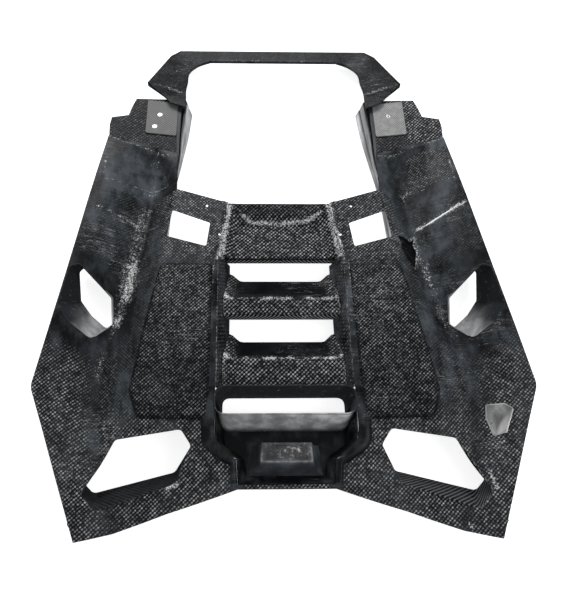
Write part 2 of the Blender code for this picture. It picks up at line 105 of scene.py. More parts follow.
BEAD_INSET = 0.012          # from the spine's edge to the top of its bead
BEAD_SPREAD = 0.007
BEAD_RISE = 0.0065          # of the beads beside the latch pocket
FINE_STEP = 0.006           # spacing of points on the small pieces
SHARP_EDGE = 0.0001         # rounding of machined edges

# Rails of the shell and arms, as (x, y, z), from the centreline to the outer edge
DECK_RAIL = [(0.0, 0.133, 0.050), (0.0, 0.20, 0.085), (0.0, 0.28, DECK), (0.0, 1.30, DECK)]
SPINE_RAIL = [(0.126, 0.131, 0.050), (0.135, 0.20, 0.085), (0.190, 0.28, DECK), (0.190, 0.53, DECK),
              (0.188, 0.70, DECK), (0.176, 0.86, DECK), (0.160, 0.985, DECK), (0.150, 1.30, DECK)]
PANEL_RAIL = [(0.300, 0.070, 0.065), (0.330, 0.15, 0.085), (0.400, 0.285, DECK), (0.424, 0.377, DECK),
              (0.403, 0.53, DECK), (0.375, 0.70, DECK), (0.343, 0.86, DECK), (0.316, 1.036, DECK),
              (0.318, 1.12, 0.110), (0.322, 1.195, 0.0976)]
CREASE_RAIL = [(0.428, 0.021, 0.085), (0.470, 0.14, 0.085), (0.500, 0.28, 0.085), (0.507, 0.40, 0.078),
               (0.494, 0.54, 0.062), (0.452, 0.70, 0.055), (0.415, 0.86, 0.050), (0.400, 1.0, 0.050),
               (0.393, 1.10, 0.056), (0.388, 1.205, 0.1070)]
BORDER_RAIL = [(0.485, 0.007, 0.093), (0.528, 0.152, 0.107), (0.573, 0.28, 0.121), (0.606, 0.38, 0.130),
               (0.584, 0.532, 0.139), (0.562, 0.70, 0.139), (0.541, 0.86, 0.135), (0.523, 1.0, 0.131),
               (0.508, 1.11, 0.127), (0.492, 1.228, 0.1219)]
EDGE_RAIL = [(0.515, 0, 0.100), (0.573, 0.15, 0.115), (0.622, 0.28, 0.130), (0.660, 0.377, 0.140),
             (0.634, 0.532, 0.150), (0.610, 0.70, 0.150), (0.590, 0.86, 0.145), (0.573, 1.0, 0.140),
             (0.557, 1.12, 0.135), (0.540, 1.242, 0.1288)]

# Outlines of the right half, as seen from above
TAIL_EDGE = [(0.126, 0.131), (0.300, 0.070), (0.428, 0.021), (0.485, 0.007), (0.515, 0.0)]
FLANK_EDGE = [(0.573, 0.15), (0.622, 0.28), (0.660, 0.377), (0.634, 0.532), (0.610, 0.70), (0.590, 0.86),
              (0.573, 1.0)]
FRONT_EDGE = [(0.523, 1.0), (0.400, 1.0), (0.316, 1.036), (0.160, 0.985)]
SPINE_EDGE = [(0.1545, 0.984), (0.185, 0.785), (0.185, 0.2445), (0.1437, 0.2070), (0.1297, 0.1990),
              (0.1260, 0.1415)]
SIDE_DUCT_TOP = [(0.619, 0.613), (0.600, 0.735), (0.577, 0.745), (0.488, 0.669), (0.483, 0.590),
                 (0.532, 0.533), (0.587, 0.565)]
SIDE_DUCT_LOW = [(0.590, 0.690), (0.606, 0.790), (0.588, 0.808), (0.472, 0.710), (0.466, 0.635),
                 (0.505, 0.597), (0.554, 0.641)]
VENT_TOP = [(0.511, 0.109), (0.440, 0.249), (0.271, 0.272), (0.244, 0.232), (0.287, 0.139), (0.473, 0.072)]
VENT_LOW = [(0.533, 0.168), (0.455, 0.296), (0.272, 0.312), (0.246, 0.268), (0.292, 0.188), (0.500, 0.135)]
WINDOW = [(0.210, 0.910), (0.220, 0.826), (0.339, 0.862), (0.327, 0.958)]
SMALL_HOLES = [(0.221, 0.972), (0.181, 0.866)]
SMALL_HOLE = 0.0042
CUP_TOP = [(0.530, 0.339), (0.524, 0.300), (0.533, 0.249), (0.565, 0.256), (0.592, 0.318), (0.574, 0.335)]
CUP_LOW = [(0.536, 0.331), (0.531, 0.300), (0.537, 0.258), (0.556, 0.263), (0.570, 0.305), (0.560, 0.325)]
CUP_SCREW = (0.548, 0.292)
SCREW_HEAD = [(0.0002, 0.0024), (0.0022, 0.0024), (0.0024, 0.0036), (0.0035, 0.0040), (0.0052, 0.0030),
              (0.0058, 0.0012), (0.0058, 0.0006), (0.0092, 0.0006), (0.0094, 0.0)]
PANEL = [(0.203, 0.295), (0.388, 0.300), (0.412, 0.377), (0.391, 0.53), (0.363, 0.70), (0.350, 0.765),
         (0.197, 0.765)]
SLIT = [(0.427, 0.913), (0.470, 0.926), (0.520, 0.946), (0.563, 0.966), (0.520, 0.950), (0.470, 0.932)]
TEAR = [(0.358, 0.872), (0.385, 0.884), (0.404, 0.874), (0.418, 0.889), (0.412, 0.866), (0.419, 0.835),
        (0.412, 0.798), (0.400, 0.762), (0.380, 0.792), (0.362, 0.830), (0.368, 0.850)]
TORN_PLY = [(0.350, 0.755), (0.426, 0.755), (0.426, 0.894), (0.350, 0.894)]
ARM = [(0.3165, 1.0363), (0.400, 1.0003), (0.523, 1.0003), (0.5728, 1.0003), (0.557, 1.12), (0.540, 1.242),
       (0.492, 1.228), (0.388, 1.205), (0.322, 1.195), (0.318, 1.12)]
ARM_END = [(0.300, 1.190), (0.322, 1.195), (0.388, 1.205), (0.492, 1.228), (0.560, 1.247)]
ARM_PLY = {"left": [(0.345, 1.060), (0.545, 1.056), (0.5385, 1.150), (0.36, 1.118)],
           "right": [(0.412, 1.052), (0.551, 1.064), (0.541, 1.196), (0.418, 1.172)]}
FLANGE = [(0.3225, 1.1965), (0.388, 1.2065), (0.492, 1.2295), (0.541, 1.2435), (0.543, 1.284),
          (0.539, 1.316), (0.487, 1.333), (0.4835, 1.348), (0.480, 1.363), (0.474, 1.385), (0.466, 1.409),
          (0.340, 1.423), (0.326, 1.30)]
PLATE_BOX = [(0.329, 1.262), (0.428, 1.262), (0.428, 1.404), (0.329, 1.404)]
INSERTS = {"left": [(0.386, 1.345), (0.400, 1.292)], "right": [(0.378, 1.345)]}
INSERT_RADIUS = 0.008
INSERT_BORE = 0.0016
INSERT_RING = [(INSERT_RADIUS, 0.0), (INSERT_RADIUS, 0.0036), (0.0075, 0.004), (0.0030, 0.004),
               (INSERT_BORE, 0.0032), (INSERT_BORE, 0.0), (INSERT_RADIUS, 0.0)]

# The spine's pieces as (y, z) profiles from back to front
BOX_PROFILE = [(0.794, 0.063), (0.795, 0.080), (0.801, 0.085), (0.915, 0.080), (0.945, 0.100), (0.984, 0.104)]
BOX_BACK = 0.785
BOX_LENGTH = 0.200
BOX_REACH = (0.1868, 0.1562)    # half width of the box, at its back and at its front
SPINE_WALL_Y = (0.3862, 0.7990)
FRONT_SLAT = [(0.609, 0.056), (0.610, 0.078), (0.616, 0.083), (0.663, 0.086), (0.680, 0.080), (0.742, 0.045)]
REAR_SLAT = [(0.3868, 0.084), (0.474, 0.087), (0.488, 0.081), (0.544, 0.045)]
POCKET_TOP = [(0.1843, 0.300), (0.1843, 0.245), (0.143, 0.208), (0.129, 0.200), (0.1254, 0.1426)]
POCKET_LOW = [(0.166, 0.2890), (0.160, 0.250), (0.122, 0.224), (0.110, 0.214), (0.102, 0.172)]
BEAD_PATH = [(0.186, 0.386), (0.186, 0.250), (0.1445, 0.2085), (0.1305, 0.2000), (0.1270, 0.1440)]
REAR_DUCT_TOP = [(-SPINE_X, 0.312), (SPINE_X, 0.312), (SPINE_X, 0.386), (-SPINE_X, 0.386)]
REAR_DUCT_LOW = [(-0.168, 0.290), (0.168, 0.290), (0.168, 0.386), (-0.168, 0.386)]
DUCT_RIM = [(0.0045, 0.034, 0.1105), (0.0028, 0.033, 0.1142)]   # how far outside the top, corner, height
LATCH_BASE = [(-0.078, 0.176), (0.078, 0.176), (0.072, 0.246), (-0.072, 0.246)]
LATCH_TOP = [(-0.066, 0.194), (0.066, 0.194), (0.064, 0.240), (-0.064, 0.240)]
LEG_INNER = [(0.299, 1.372, 0.1150), (0.303, 1.430, 0.106), (0.306, 1.482, 0.088), (0.303, 1.530, 0.074),
             (0.300, 1.590, 0.061), (0.272, 1.636, HOOP_Z), (HOOP_CORNER, HOOP_BACK, HOOP_Z)]
LEG_OUTER = [(0.354, 1.392, 0.1165), (0.376, 1.422, 0.117), (0.439, 1.503, 0.100), (0.405, 1.594, 0.077),
             (0.371, 1.682, 0.056), (0.338, HOOP_FRONT, HOOP_Z), (HOOP_CORNER, HOOP_FRONT, HOOP_Z)]
LEG_LIP = [0.002, 0.008, 0.020, 0.020, 0.020, 0.020, 0.020]
WALL_TOP = [(0.304, 1.415, 0.098), (0.313, 1.275, 0.093), (0.315, 1.180, 0.092), (0.325, 1.090, 0.092),
            (0.336, 1.000, 0.090), (0.341, 0.900, 0.088), (0.3435, 0.862, 0.087)]
WALL_LOW = [(0.291, 1.440, 0.0035), (0.300, 1.340, 0.0025), (0.318, 1.225, 0.002), (0.335, 1.120, 0.002),
            (0.345, 1.020, 0.002), (0.349, 0.930, 0.0035), (0.352, 0.885, 0.006)]
LIP_WIDTH = [(0.90, 1.12, 1.18, 1.30, 1.415), (0.0, 0.004, 0.009, 0.017, 0.036)]


# Studio
FLOOR_REACH = 30.0
FLOOR_Z = -0.0005
BACKDROP_RADIUS = 16.0
BACKDROP_DEPTH = 24.0
WORLD_FADE = (-0.25, 0.6, 0.02, 1.0)        # from a dark ground to a light ceiling
CAMERA_PLACE = (-0.1156, -0.2289, 1.7489)
CAMERA_TURN = (61.9, 3.06, 2.65)            # pitch, yaw and roll in degrees
CAMERA_SHIFT = 0.0533


# Sizes and colours that a user would change
class CoverSizes(bpy.types.PropertyGroup):
    mesh_step: bpy.props.FloatProperty(
        name="Mesh Step", description="Spacing of the points on the large surfaces",
        default=0.0075, min=0.003, max=0.02, unit="LENGTH")
    edge_radius: bpy.props.FloatProperty(
        name="Edge Radius", description="Rounding of the trimmed laminate edges",
        default=0.0007, min=0.0, max=0.0014, unit="LENGTH")
    fold_radius: bpy.props.FloatProperty(
        name="Fold Radius", description="How softly the shell's folds turn",
        default=0.007, min=0.002, max=0.02, unit="LENGTH")
    tow_width: bpy.props.FloatProperty(
        name="Tow Width", description="Width of one tow of the carbon cloth",
        default=0.0037, min=0.001, max=0.008, unit="LENGTH")
    bead_height: bpy.props.FloatProperty(
        name="Bead Height", description="Height of the beads beside the spine",
        default=0.0035, min=0.0, max=0.006, unit="LENGTH")


class CoverColours(bpy.types.PropertyGroup):
    resin: bpy.props.FloatVectorProperty(
        name="Resin", description="Dark resin between the tows",
        default=(0.0032, 0.0036, 0.0045), min=0.0, max=1.0, subtype="COLOR")
    # Painted sheen: the colour of the light that the tows reflect.
    tow: bpy.props.FloatVectorProperty(
        name="Tow", description="Tows that catch the light",
        default=(0.56, 0.575, 0.59), min=0.0, max=1.0, subtype="COLOR")
    # Haze colour of the handling film. Darkened, it is also the colour of the painted shade on the grey
    # skins.
    haze_and_painted_light: bpy.props.FloatVectorProperty(
        name="Haze", description="Blue-grey handling film on the laminate",
        default=(0.085, 0.098, 0.112), min=0.0, max=1.0, subtype="COLOR")
    # Dust colour. The same colour also paints the highlights along ridges and rims.
    dust_and_highlight: bpy.props.FloatVectorProperty(
        name="Dust", description="Sanding dust and dry resin",
        default=(0.86, 0.87, 0.88), min=0.0, max=1.0, subtype="COLOR")
    grey_resin: bpy.props.FloatVectorProperty(
        name="Grey Resin", description="Glossy skin of the ducts",
        default=(0.33, 0.335, 0.34), min=0.0, max=1.0, subtype="COLOR")
    grey_coat: bpy.props.FloatVectorProperty(
        name="Grey Coat", description="Coating of the cup and hinge plates",
        default=(0.30, 0.305, 0.30), min=0.0, max=1.0, subtype="COLOR")


class StageSettings(bpy.types.PropertyGroup):
    focal_length: bpy.props.FloatProperty(
        name="Focal Length", description="Focal length of the camera, in millimetres",
        default=39.4, min=20.0, max=120.0)
    floor_colour: bpy.props.FloatVectorProperty(
        name="Floor", description="Pale studio floor",
        default=(0.90, 0.90, 0.90), min=0.0, max=1.0, subtype="COLOR")
    key_power: bpy.props.FloatProperty(
        name="Key Power", description="Power of the large soft light, in watts",
        default=60.0, min=0.0, max=1000.0)
    surround: bpy.props.FloatProperty(
        name="Surround", description="Brightness of the studio's walls",
        default=0.42, min=0.0, max=3.0)


# Shapes in the plane
def mirrored(points, side):
    return [(side * point[0], *point[1:]) for point in points]


def both_halves(points):
    """A right-half outline that starts and ends off the centreline, joined to its mirror image."""
    return points + mirrored(points, -1)[::-1]


def inset(outline, distance):
    """An anticlockwise outline moved inwards by a distance."""
    moved = []
    for i, corner in enumerate(outline):
        here = Vector(corner)
        before = (here - Vector(outline[i - 1])).normalized()
        after = (Vector(outline[(i + 1) % len(outline)]) - here).normalized()
        normal = Vector((-before.y, before.x))
        middle = (normal + Vector((-after.y, after.x))).normalized()
        moved.append(tuple(here + middle * (distance / middle.dot(normal))))
    return moved


def round_corners(outline, radius, steps=5, closed=True):
    """An outline with each corner replaced by an arc."""
    rounded = []
    count = len(outline)
    for i, corner in enumerate(outline):
        if not closed and i in (0, count - 1):
            rounded += [corner]
            continue
        here = Vector(corner)
        back = Vector(outline[i - 1]) - here
        ahead = Vector(outline[(i + 1) % count]) - here
        half = back.angle(ahead) / 2
        reach = min(radius / max(math.tan(half), 0.001), 0.45 * back.length, 0.45 * ahead.length)
        for step in range(steps + 1):
            t = step / steps
            a = here + back.normalized() * reach * (1 - t) ** 2
            rounded.append(tuple(a + ahead.normalized() * reach * t ** 2))
    return rounded


def spaced(outline, step, closed=True):
    """The outline with extra points, so that none are further apart than a step."""
    result = []
    for start, end in zip(outline, outline[1:] + outline[:1] if closed else outline[1:]):
        parts = max(1, math.ceil(math.dist(start, end) / step))
        start, end = np.array(start), np.array(end)
        result += [tuple(start + (end - start) * k / parts) for k in range(parts)]
    return result if closed else result + [outline[-1]]


def circle(x, y, radius, sides=24):
    return [(x + radius * math.cos(turn), y + radius * math.sin(turn))
            for turn in (2 * math.pi * i / sides for i in range(sides))]


def near(x, y, points, closed=False):
    """Distance from places to a line through points."""
    best = np.full(np.shape(x), 9.0)
    ends = points[1:] + points[:1] if closed else points[1:]
    for (ax, ay), (bx, by) in zip(points, ends):
        dx, dy = bx - ax, by - ay
        t = np.clip(((x - ax) * dx + (y - ay) * dy) / (dx * dx + dy * dy + 1e-12), 0, 1)
        best = np.minimum(best, np.hypot(x - ax - t * dx, y - ay - t * dy))
    return best


def glow(x, y, points, width):
    """1 on a line, fading to 0 over a width."""
    return np.exp(-(near(x, y, points) / width) ** 2)


def inside(x, y, loop):
    result = np.zeros(np.shape(x), bool)
    for (ax, ay), (bx, by) in zip(loop, loop[1:] + loop[:1]):
        if ay != by:
            result ^= ((ay > y) != (by > y)) & (x < (bx - ax) * (y - ay) / (by - ay) + ax)
    return result


def smooth(value, low, high):
    t = np.clip((value - low) / (high - low), 0, 1)
    return t * t * (3 - 2 * t)


# Height of the shell and arms
class Relief:
    """Heights of the folded sheet that the shell and both arms are made of."""
    STEP = 0.004
    REACH = (0.72, -0.08, 1.30)

    def __init__(self, fold_radius):
        xs = np.arange(0.0, self.REACH[0], self.STEP)
        ys = np.arange(self.REACH[1], self.REACH[2], self.STEP)
        across, up = [], []
        for rail in (DECK_RAIL, SPINE_RAIL, PANEL_RAIL, CREASE_RAIL, BORDER_RAIL, EDGE_RAIL):
            points = np.array(rail)
            start = points[0] - (points[1] - points[0])
            end = points[-1] + (points[-1] - points[-2])
            points = np.vstack([start, points, end])
            across.append(np.interp(ys, points[:, 1], points[:, 0]))
            up.append(np.interp(ys, points[:, 1], points[:, 2]))
        across.append(2 * across[-1] - across[-2])
        up.append(2 * up[-1] - up[-2])
        across, up = np.array(across), np.array(up)
        across = np.maximum.accumulate(across + np.arange(len(across))[:, None] * 1e-6)
        table = np.array([np.interp(xs, across[:, j], up[:, j]) for j in range(len(ys))])
        radius = max(1, round(2.5 * fold_radius / self.STEP))
        kernel = np.exp(-0.5 * (np.arange(-radius, radius + 1) * self.STEP / fold_radius) ** 2)
        kernel /= kernel.sum()
        left = table[:, radius:0:-1]
        right = 2 * table[:, -1:] - table[:, -2:-radius - 2:-1]
        table = np.apply_along_axis(np.convolve, 1, np.hstack([left, table, right]), kernel, "valid")
        low = 2 * table[:1] - table[radius:0:-1]
        high = 2 * table[-1:] - table[-2:-radius - 2:-1]
        self.table = np.apply_along_axis(np.convolve, 0, np.vstack([low, table, high]), kernel, "valid")

    def __call__(self, x, y):
        u = np.clip(np.abs(x) / self.STEP, 0, self.table.shape[1] - 1.001)
        v = np.clip((np.asarray(y) - self.REACH[1]) / self.STEP, 0, self.table.shape[0] - 1.001)
        i, j = np.floor(u).astype(int), np.floor(v).astype(int)
        a, b = u - i, v - j
        t = self.table
        return ((1 - a) * (1 - b) * t[j, i] + a * (1 - b) * t[j, i + 1]
                + (1 - a) * b * t[j + 1, i] + a * b * t[j + 1, i + 1])


def relief(context):
    return Relief(context.scene.cover_sizes.fold_radius)


def flange_height(x, y=0.0):
    return 0.0515 + 0.143 * np.abs(x) - FLANGE_STEP


def wall_reach(z):
    """Half width that fits the spine channel at a height."""
    return SPINE_FLOOR_X + (z - SPINE_FLOOR) / (DECK - SPINE_FLOOR) * (SPINE_TOP_X - SPINE_FLOOR_X) - DUCT_GAP


# Meshes
@contextmanager
def editing(mesh):
    """Opens a mesh for changes, and writes them back to it."""
    bm = bmesh.new()
    bm.from_mesh(mesh)
    yield bm
    bm.to_mesh(mesh)
    bm.free()


def region(outline, holes, step, lift, guides=()):
    """A triangulated flat region lifted to lift(x, y), with points along its outlines and guide lines."""
    loops = [spaced(loop, step) for loop in (outline, *holes, *guides)]
    points, edges = [], []
    for loop in loops:
        start = len(points)
        points += loop
        edges += [(start + i, start + (i + 1) % len(loop)) for i in range(len(loop))]

    def solid(x, y):
        """True inside the outline and outside every hole."""
        result = inside(x, y, loops[0])
        for loop in loops[1:1 + len(holes)]:
            result &= ~inside(x, y, loop)
        return result

    corners = np.array(loops[0])
    low, high = corners.min(axis=0), corners.max(axis=0)
    gx, gy = np.meshgrid(np.arange(low[0], high[0], step), np.arange(low[1], high[1], step))
    gx[1::2] += step / 2
    gx, gy = gx.ravel(), gy.ravel()
    keep = solid(gx, gy)
    gx, gy = gx[keep], gy[keep]
    clear = np.full(gx.shape, True)
    for loop in loops:
        clear &= near(gx, gy, loop, closed=True) > 0.55 * step
    points += list(zip(gx[clear], gy[clear]))
    places, _, faces = delaunay_2d_cdt([Vector(p) for p in points], edges, [], 0, 1e-6)[:3]
    flat = np.array([(p.x, p.y) for p in places])
    good = solid(*flat[np.array(faces)].mean(axis=1).T)
    heights = lift(*flat.T)
    mesh = bpy.data.meshes.new("region")
    mesh.from_pydata(np.column_stack([flat, heights]).tolist(), [], [f for f, g in zip(faces, good) if g])
    with editing(mesh) as bm:
        bmesh.ops.delete(bm, geom=[v for v in bm.verts if not v.link_faces], context="VERTS")
    return mesh


def loft(rows, closed=False, floor=False):
    """A surface through rows of points of equal length, with the last row filled where it is a floor."""
    count = len(rows[0])
    mesh = bpy.data.meshes.new("loft")
    with editing(mesh) as bm:
        rows = [[bm.verts.new(point) for point in row] for row in rows]
        for near_row, far_row in zip(rows, rows[1:]):
            for j in range(count if closed else count - 1):
                k = (j + 1) % count
                bm.faces.new([near_row[j], far_row[j], far_row[k], near_row[k]])
        if floor:
            bm.faces.new(rows[-1])
            bmesh.ops.triangulate(bm, faces=[f for f in bm.faces if len(f.verts) > 4])
    return mesh


def facing(mesh, towards=None):
    """Turns a mesh's faces up, or towards a place."""
    with editing(mesh) as bm:
        bmesh.ops.recalc_face_normals(bm, faces=bm.faces)
        score = 0.0
        for face in bm.faces:
            wanted = Vector((0, 0, 1)) if towards is None else Vector(towards) - face.calc_center_median()
            score += face.normal.dot(wanted) * face.calc_area()
        if score < 0:
            bmesh.ops.reverse_faces(bm, faces=bm.faces)
    return mesh


def turned(profile, x, y, z, sides=32):
    """A part turned on an upright axis through a place, from a (radius, height) profile."""
    turns = [2 * math.pi * k / sides for k in range(sides)]
    return loft([[(x + r * math.cos(t), y + r * math.sin(t), z + up) for t in turns] for r, up in profile],
                closed=True)


def even(dust_and_highlight=0.0, weave=0.0, accent=0.0):
    """Wear that is the same all over."""
    return lambda x, y, z: (dust_and_highlight + 0 * x, weave + 0 * x, accent + 0 * x)


def paint(mesh, wear_and_painted_light):
    """Stores dust_and_highlight, weave and accent amounts from wear_and_painted_light(x, y, z), for the
    finishes to read.
    """
    places = np.empty(len(mesh.vertices) * 3)
    mesh.vertices.foreach_get("co", places)
    x, y, z = places.reshape(-1, 3).T
    amounts = np.ones((len(x), 4))
    for channel, amount in enumerate(wear_and_painted_light(x, y, z)):
        amounts[:, channel] = np.clip(amount, 0, 1)
    layer = mesh.color_attributes.new(name="wear_and_painted_light", type="FLOAT_COLOR", domain="POINT")
    layer.data.foreach_set("color", amounts.ravel())


def add_piece(context, name, mesh, material, nodes, thickness=SKIN, offset=-1.0, edge=None,
              wear_and_painted_light=even(weave=1.0)):
    """Adds a mesh as a finished piece that stands for CAD nodes."""
    mesh.name = name
    paint(mesh, wear_and_painted_light)
    mesh.transform(Matrix.Translation((0.0, TAIL, 0.0)))
    mesh.shade_smooth()
    mesh.materials.append(material)
    piece = bpy.data.objects.new(name, mesh)
    context.scene.collection.objects.link(piece)
    if thickness:
        skin = piece.modifiers.new("skin", "SOLIDIFY")
        skin.thickness = thickness
        skin.offset = offset
    bevel = piece.modifiers.new("edges", "BEVEL")
    bevel.width = context.scene.cover_sizes.edge_radius if edge is None else edge
    bevel.segments = 2
    bevel.limit_method = "ANGLE"
    bevel.angle_limit = math.radians(50)
    bevel.harden_normals = False
    piece.modifiers.new("shading", "WEIGHTED_NORMAL").keep_sharp = True
    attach(piece, "root")
    if nodes:
        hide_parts(*nodes)
    return piece


# Finishes
def shade(colour, share, most=1.0):
    """A colour made darker or lighter."""
    return tuple(min(most, share * part) for part in colour)


class Finish:
    """Builds the nodes of one material."""

    def __init__(self, name):
        self.material = bpy.data.materials.new(name)
        self.material.use_nodes = True
        self.tree = self.material.node_tree
        self.shader = self.tree.nodes["Principled BSDF"]
        self.place = self.node("TexCoord").outputs["Object"]
        # The wear_and_painted_light attribute holds dust and painted highlights, weave, and accents with
        # painted shade.
        wear_and_painted_light = self.node("Attribute", attribute_name="wear_and_painted_light").outputs["Color"]
        self.dust_and_highlight, self.weave, self.accent = self.node("SeparateColor", Color=wear_and_painted_light).outputs[:3]

    def node(self, kind, **values):
        node = self.tree.nodes.new("ShaderNode" + kind)
        for key, value in values.items():
            if hasattr(node, key):
                setattr(node, key, value)
            else:
                self.feed(node.inputs[int(key[1:]) if key[1:].isdigit() else key], value)
        return node

    def feed(self, socket, value):
        if isinstance(value, bpy.types.NodeSocket):
            self.tree.links.new(value, socket)
        elif hasattr(value, "__len__") and len(value) == 3 and socket.type == "RGBA":
            socket.default_value = (*value, 1.0)
        else:
            socket.default_value = value

    def maths(self, operation, a, b=0.0, c=0.0):
        return self.node("Math", operation=operation, i0=a, i1=b, i2=c).outputs[0]

    def times(self, *values):
        result = values[0]
        for value in values[1:]:
            result = self.maths("MULTIPLY", result, value)
        return result

    def plus(self, a, b):
        return self.maths("ADD", a, b)

    def most(self, a, b):
        return self.maths("MAXIMUM", a, b)

    def centred(self, value):
        return self.maths("SUBTRACT", value, 0.5)

    def mix(self, share, a, b):
        node = self.node("Mix", data_type="RGBA")
        self.feed(node.inputs[0], share)
        self.feed(node.inputs[6], a)
        self.feed(node.inputs[7], b)
        return node.outputs[2]

    def band(self, value, low, high, start=0.0, end=1.0):
        node = self.node("MapRange", interpolation_type="SMOOTHSTEP")
        for index, number in enumerate((value, low, high, start, end)):
            self.feed(node.inputs[index], number)
        return node.outputs[0]

    def stretched(self, scale, turn=0.0):
        node = self.node("Mapping", vector_type="POINT", Vector=self.place)
        node.inputs["Rotation"].default_value = (0.0, 0.0, turn)
        node.inputs["Scale"].default_value = scale
        return node.outputs[0]

    def noise(self, scale, detail=4.0, roughness=0.55, stretch=None, turn=0.0):
        where = self.place if stretch is None else self.stretched(stretch, turn)
        return self.node("TexNoise", Vector=where, Scale=scale, Detail=detail, Roughness=roughness).outputs[0]

    def cloth(self, tow):
        """Painted sheen and height of a woven cloth: one bright float in each cell of a tilted grid."""
        parts = self.node("SeparateXYZ", Vector=self.stretched((0.5 / tow, 0.5 / tow, 1.0), math.pi / 4))
        across, along, ridges = [], [], []
        for axis in parts.outputs[:2]:
            middle = self.maths("ABSOLUTE", self.centred(self.maths("FRACT", axis)))
            across.append(self.band(middle, 0.30, 0.08))
            along.append(self.band(middle, 0.46, 0.22))
            ridges.append(self.band(self.maths("PINGPONG", axis, 0.25), 0.02, 0.2))
        light = self.most(self.times(across[0], along[1]), self.times(across[1], along[0], 0.45))
        return light, self.times(*ridges)

    def scratches(self, turn, amount=0.5):
        """Fine scratches that run along one direction, in patches."""
        lines = self.noise(7.0, 2.0, stretch=(1.0, 14.0, 1.0), turn=turn)
        thin = self.band(self.maths("ABSOLUTE", self.centred(lines)), 0.0045, 0.0015)
        return self.times(thin, self.band(self.noise(5.0, 3.0), 0.52, 0.68), amount)

    def bump(self, height, strength, distance):
        node = self.node("Bump", Height=height, Strength=strength, Distance=distance)
        self.feed(self.shader.inputs["Normal"], node.outputs[0])

    def set(self, **values):
        for key, value in values.items():
            self.feed(self.shader.inputs[key.replace("_", " ")], value)


def carbon(context, name, scale=1.0, light=1.0, haze_and_painted_light=1.0, gloss=0.3, chevron=False):
    """Bare carbon laminate: dark resin, painted sheen on the tows, a handling film, dust with painted
    highlights, scratches.
    """
    colours, sizes = context.scene.cover_colours, context.scene.cover_sizes
    f = Finish(name)
    tow_light, tow_height = f.cloth(sizes.tow_width * scale)
    cloud, grain, speck = f.noise(7.0, 5.0), f.noise(38.0, 5.0, 0.65), f.noise(260.0, 3.0)
    patch = f.band(grain, 0.34, 0.64, 0.30, 1.0)
    smear = f.noise(16.0, 6.0, 0.62, stretch=(1.0, 0.45, 1.0), turn=0.5)
    sparkle = f.band(f.noise(120.0, 2.0), 0.38, 0.68, 0.18, 1.7)
    # Painted sheen and glints on the tows.
    shine = f.times(tow_light, f.weave, patch, sparkle, light)
    if chevron:
        where = f.node("SeparateXYZ", Vector=f.place)
        slope = f.plus(f.maths("ABSOLUTE", where.outputs[0]), where.outputs[2])
        # Painted sheen on the wide chevron tows.
        stripe = f.band(f.maths("SINE", f.times(slope, 520.0)), 0.2, 0.9)
        shine = f.most(shine, f.times(stripe, f.accent, 0.5))
    base = f.mix(shine, colours.resin, colours.tow)
    film = f.times(f.band(cloud, 0.36, 0.66, 0.3, 1.0), f.band(smear, 0.34, 0.68),
                   f.band(grain, 0.3, 0.7, 0.45, 1.0), haze_and_painted_light, f.maths("MULTIPLY_ADD", f.weave, -0.65, 1.0))
    base = f.mix(film, base, colours.haze_and_painted_light)
    marks = f.most(f.scratches(0.4), f.scratches(-0.9, 0.35))
    # Pale specks of dust, and painted highlights where dust_and_highlight lies along ridges and rims.
    dust_and_highlight_specks = f.plus(f.times(f.dust_and_highlight, 1.1), f.times(f.centred(f.noise(100.0, 6.0, 0.72)), 2.2))
    dust_and_highlight_specks = f.plus(dust_and_highlight_specks, f.times(f.centred(speck), 2.6))
    dust_and_highlight_specks = f.times(f.band(dust_and_highlight_specks, 0.46, 1.25), f.band(f.dust_and_highlight, 0.04, 0.35))
    flecks = f.times(f.band(speck, 0.68, 0.75), f.band(cloud, 0.42, 0.62), 0.45)
    pale = f.most(dust_and_highlight_specks, f.most(marks, flecks))
    f.set(Base_Color=f.mix(pale, base, colours.dust_and_highlight), IOR=1.45, Specular_IOR_Level=gloss)
    f.set(Roughness=f.band(f.plus(f.times(grain, 0.5), f.times(pale, 0.6)), 0.1, 1.0, 0.30, 0.72))
    f.bump(f.plus(f.times(tow_height, f.weave), f.times(f.plus(speck, grain), 0.5)), 0.35, 0.0006)
    return f.material


def smooth_laminate(context, name, sheen=1.0):
    """Close-grained black laminate with a soft gloss, wipe marks and patches of painted sheen."""
    colours = context.scene.cover_colours
    f = Finish(name)
    cloud, grain = f.noise(14.0, 5.0), f.noise(90.0, 4.0)
    wipe = f.noise(30.0, 4.0, stretch=(1.0, 0.25, 0.4), turn=0.3)
    # Lighter haze patches scaled by sheen: painted sheen.
    base = f.mix(f.times(f.band(cloud, 0.4, 0.75), f.band(wipe, 0.3, 0.7), 0.5 * sheen),
                 colours.resin, colours.haze_and_painted_light)
    dust_and_highlight_patches = f.plus(f.times(f.dust_and_highlight, 1.2), f.times(f.centred(grain), 1.6))
    dust_and_highlight_patches = f.times(f.band(dust_and_highlight_patches, 0.4, 1.1), f.band(f.dust_and_highlight, 0.04, 0.3))
    pale = f.most(dust_and_highlight_patches, f.scratches(1.1, 0.3))
    f.set(Base_Color=f.mix(pale, base, colours.dust_and_highlight), IOR=1.45, Specular_IOR_Level=0.2)
    f.set(Roughness=f.band(grain, 0.2, 0.8, 0.25, 0.45))
    f.bump(f.plus(cloud, f.times(grain, 0.3)), 0.2, 0.001)
    return f.material


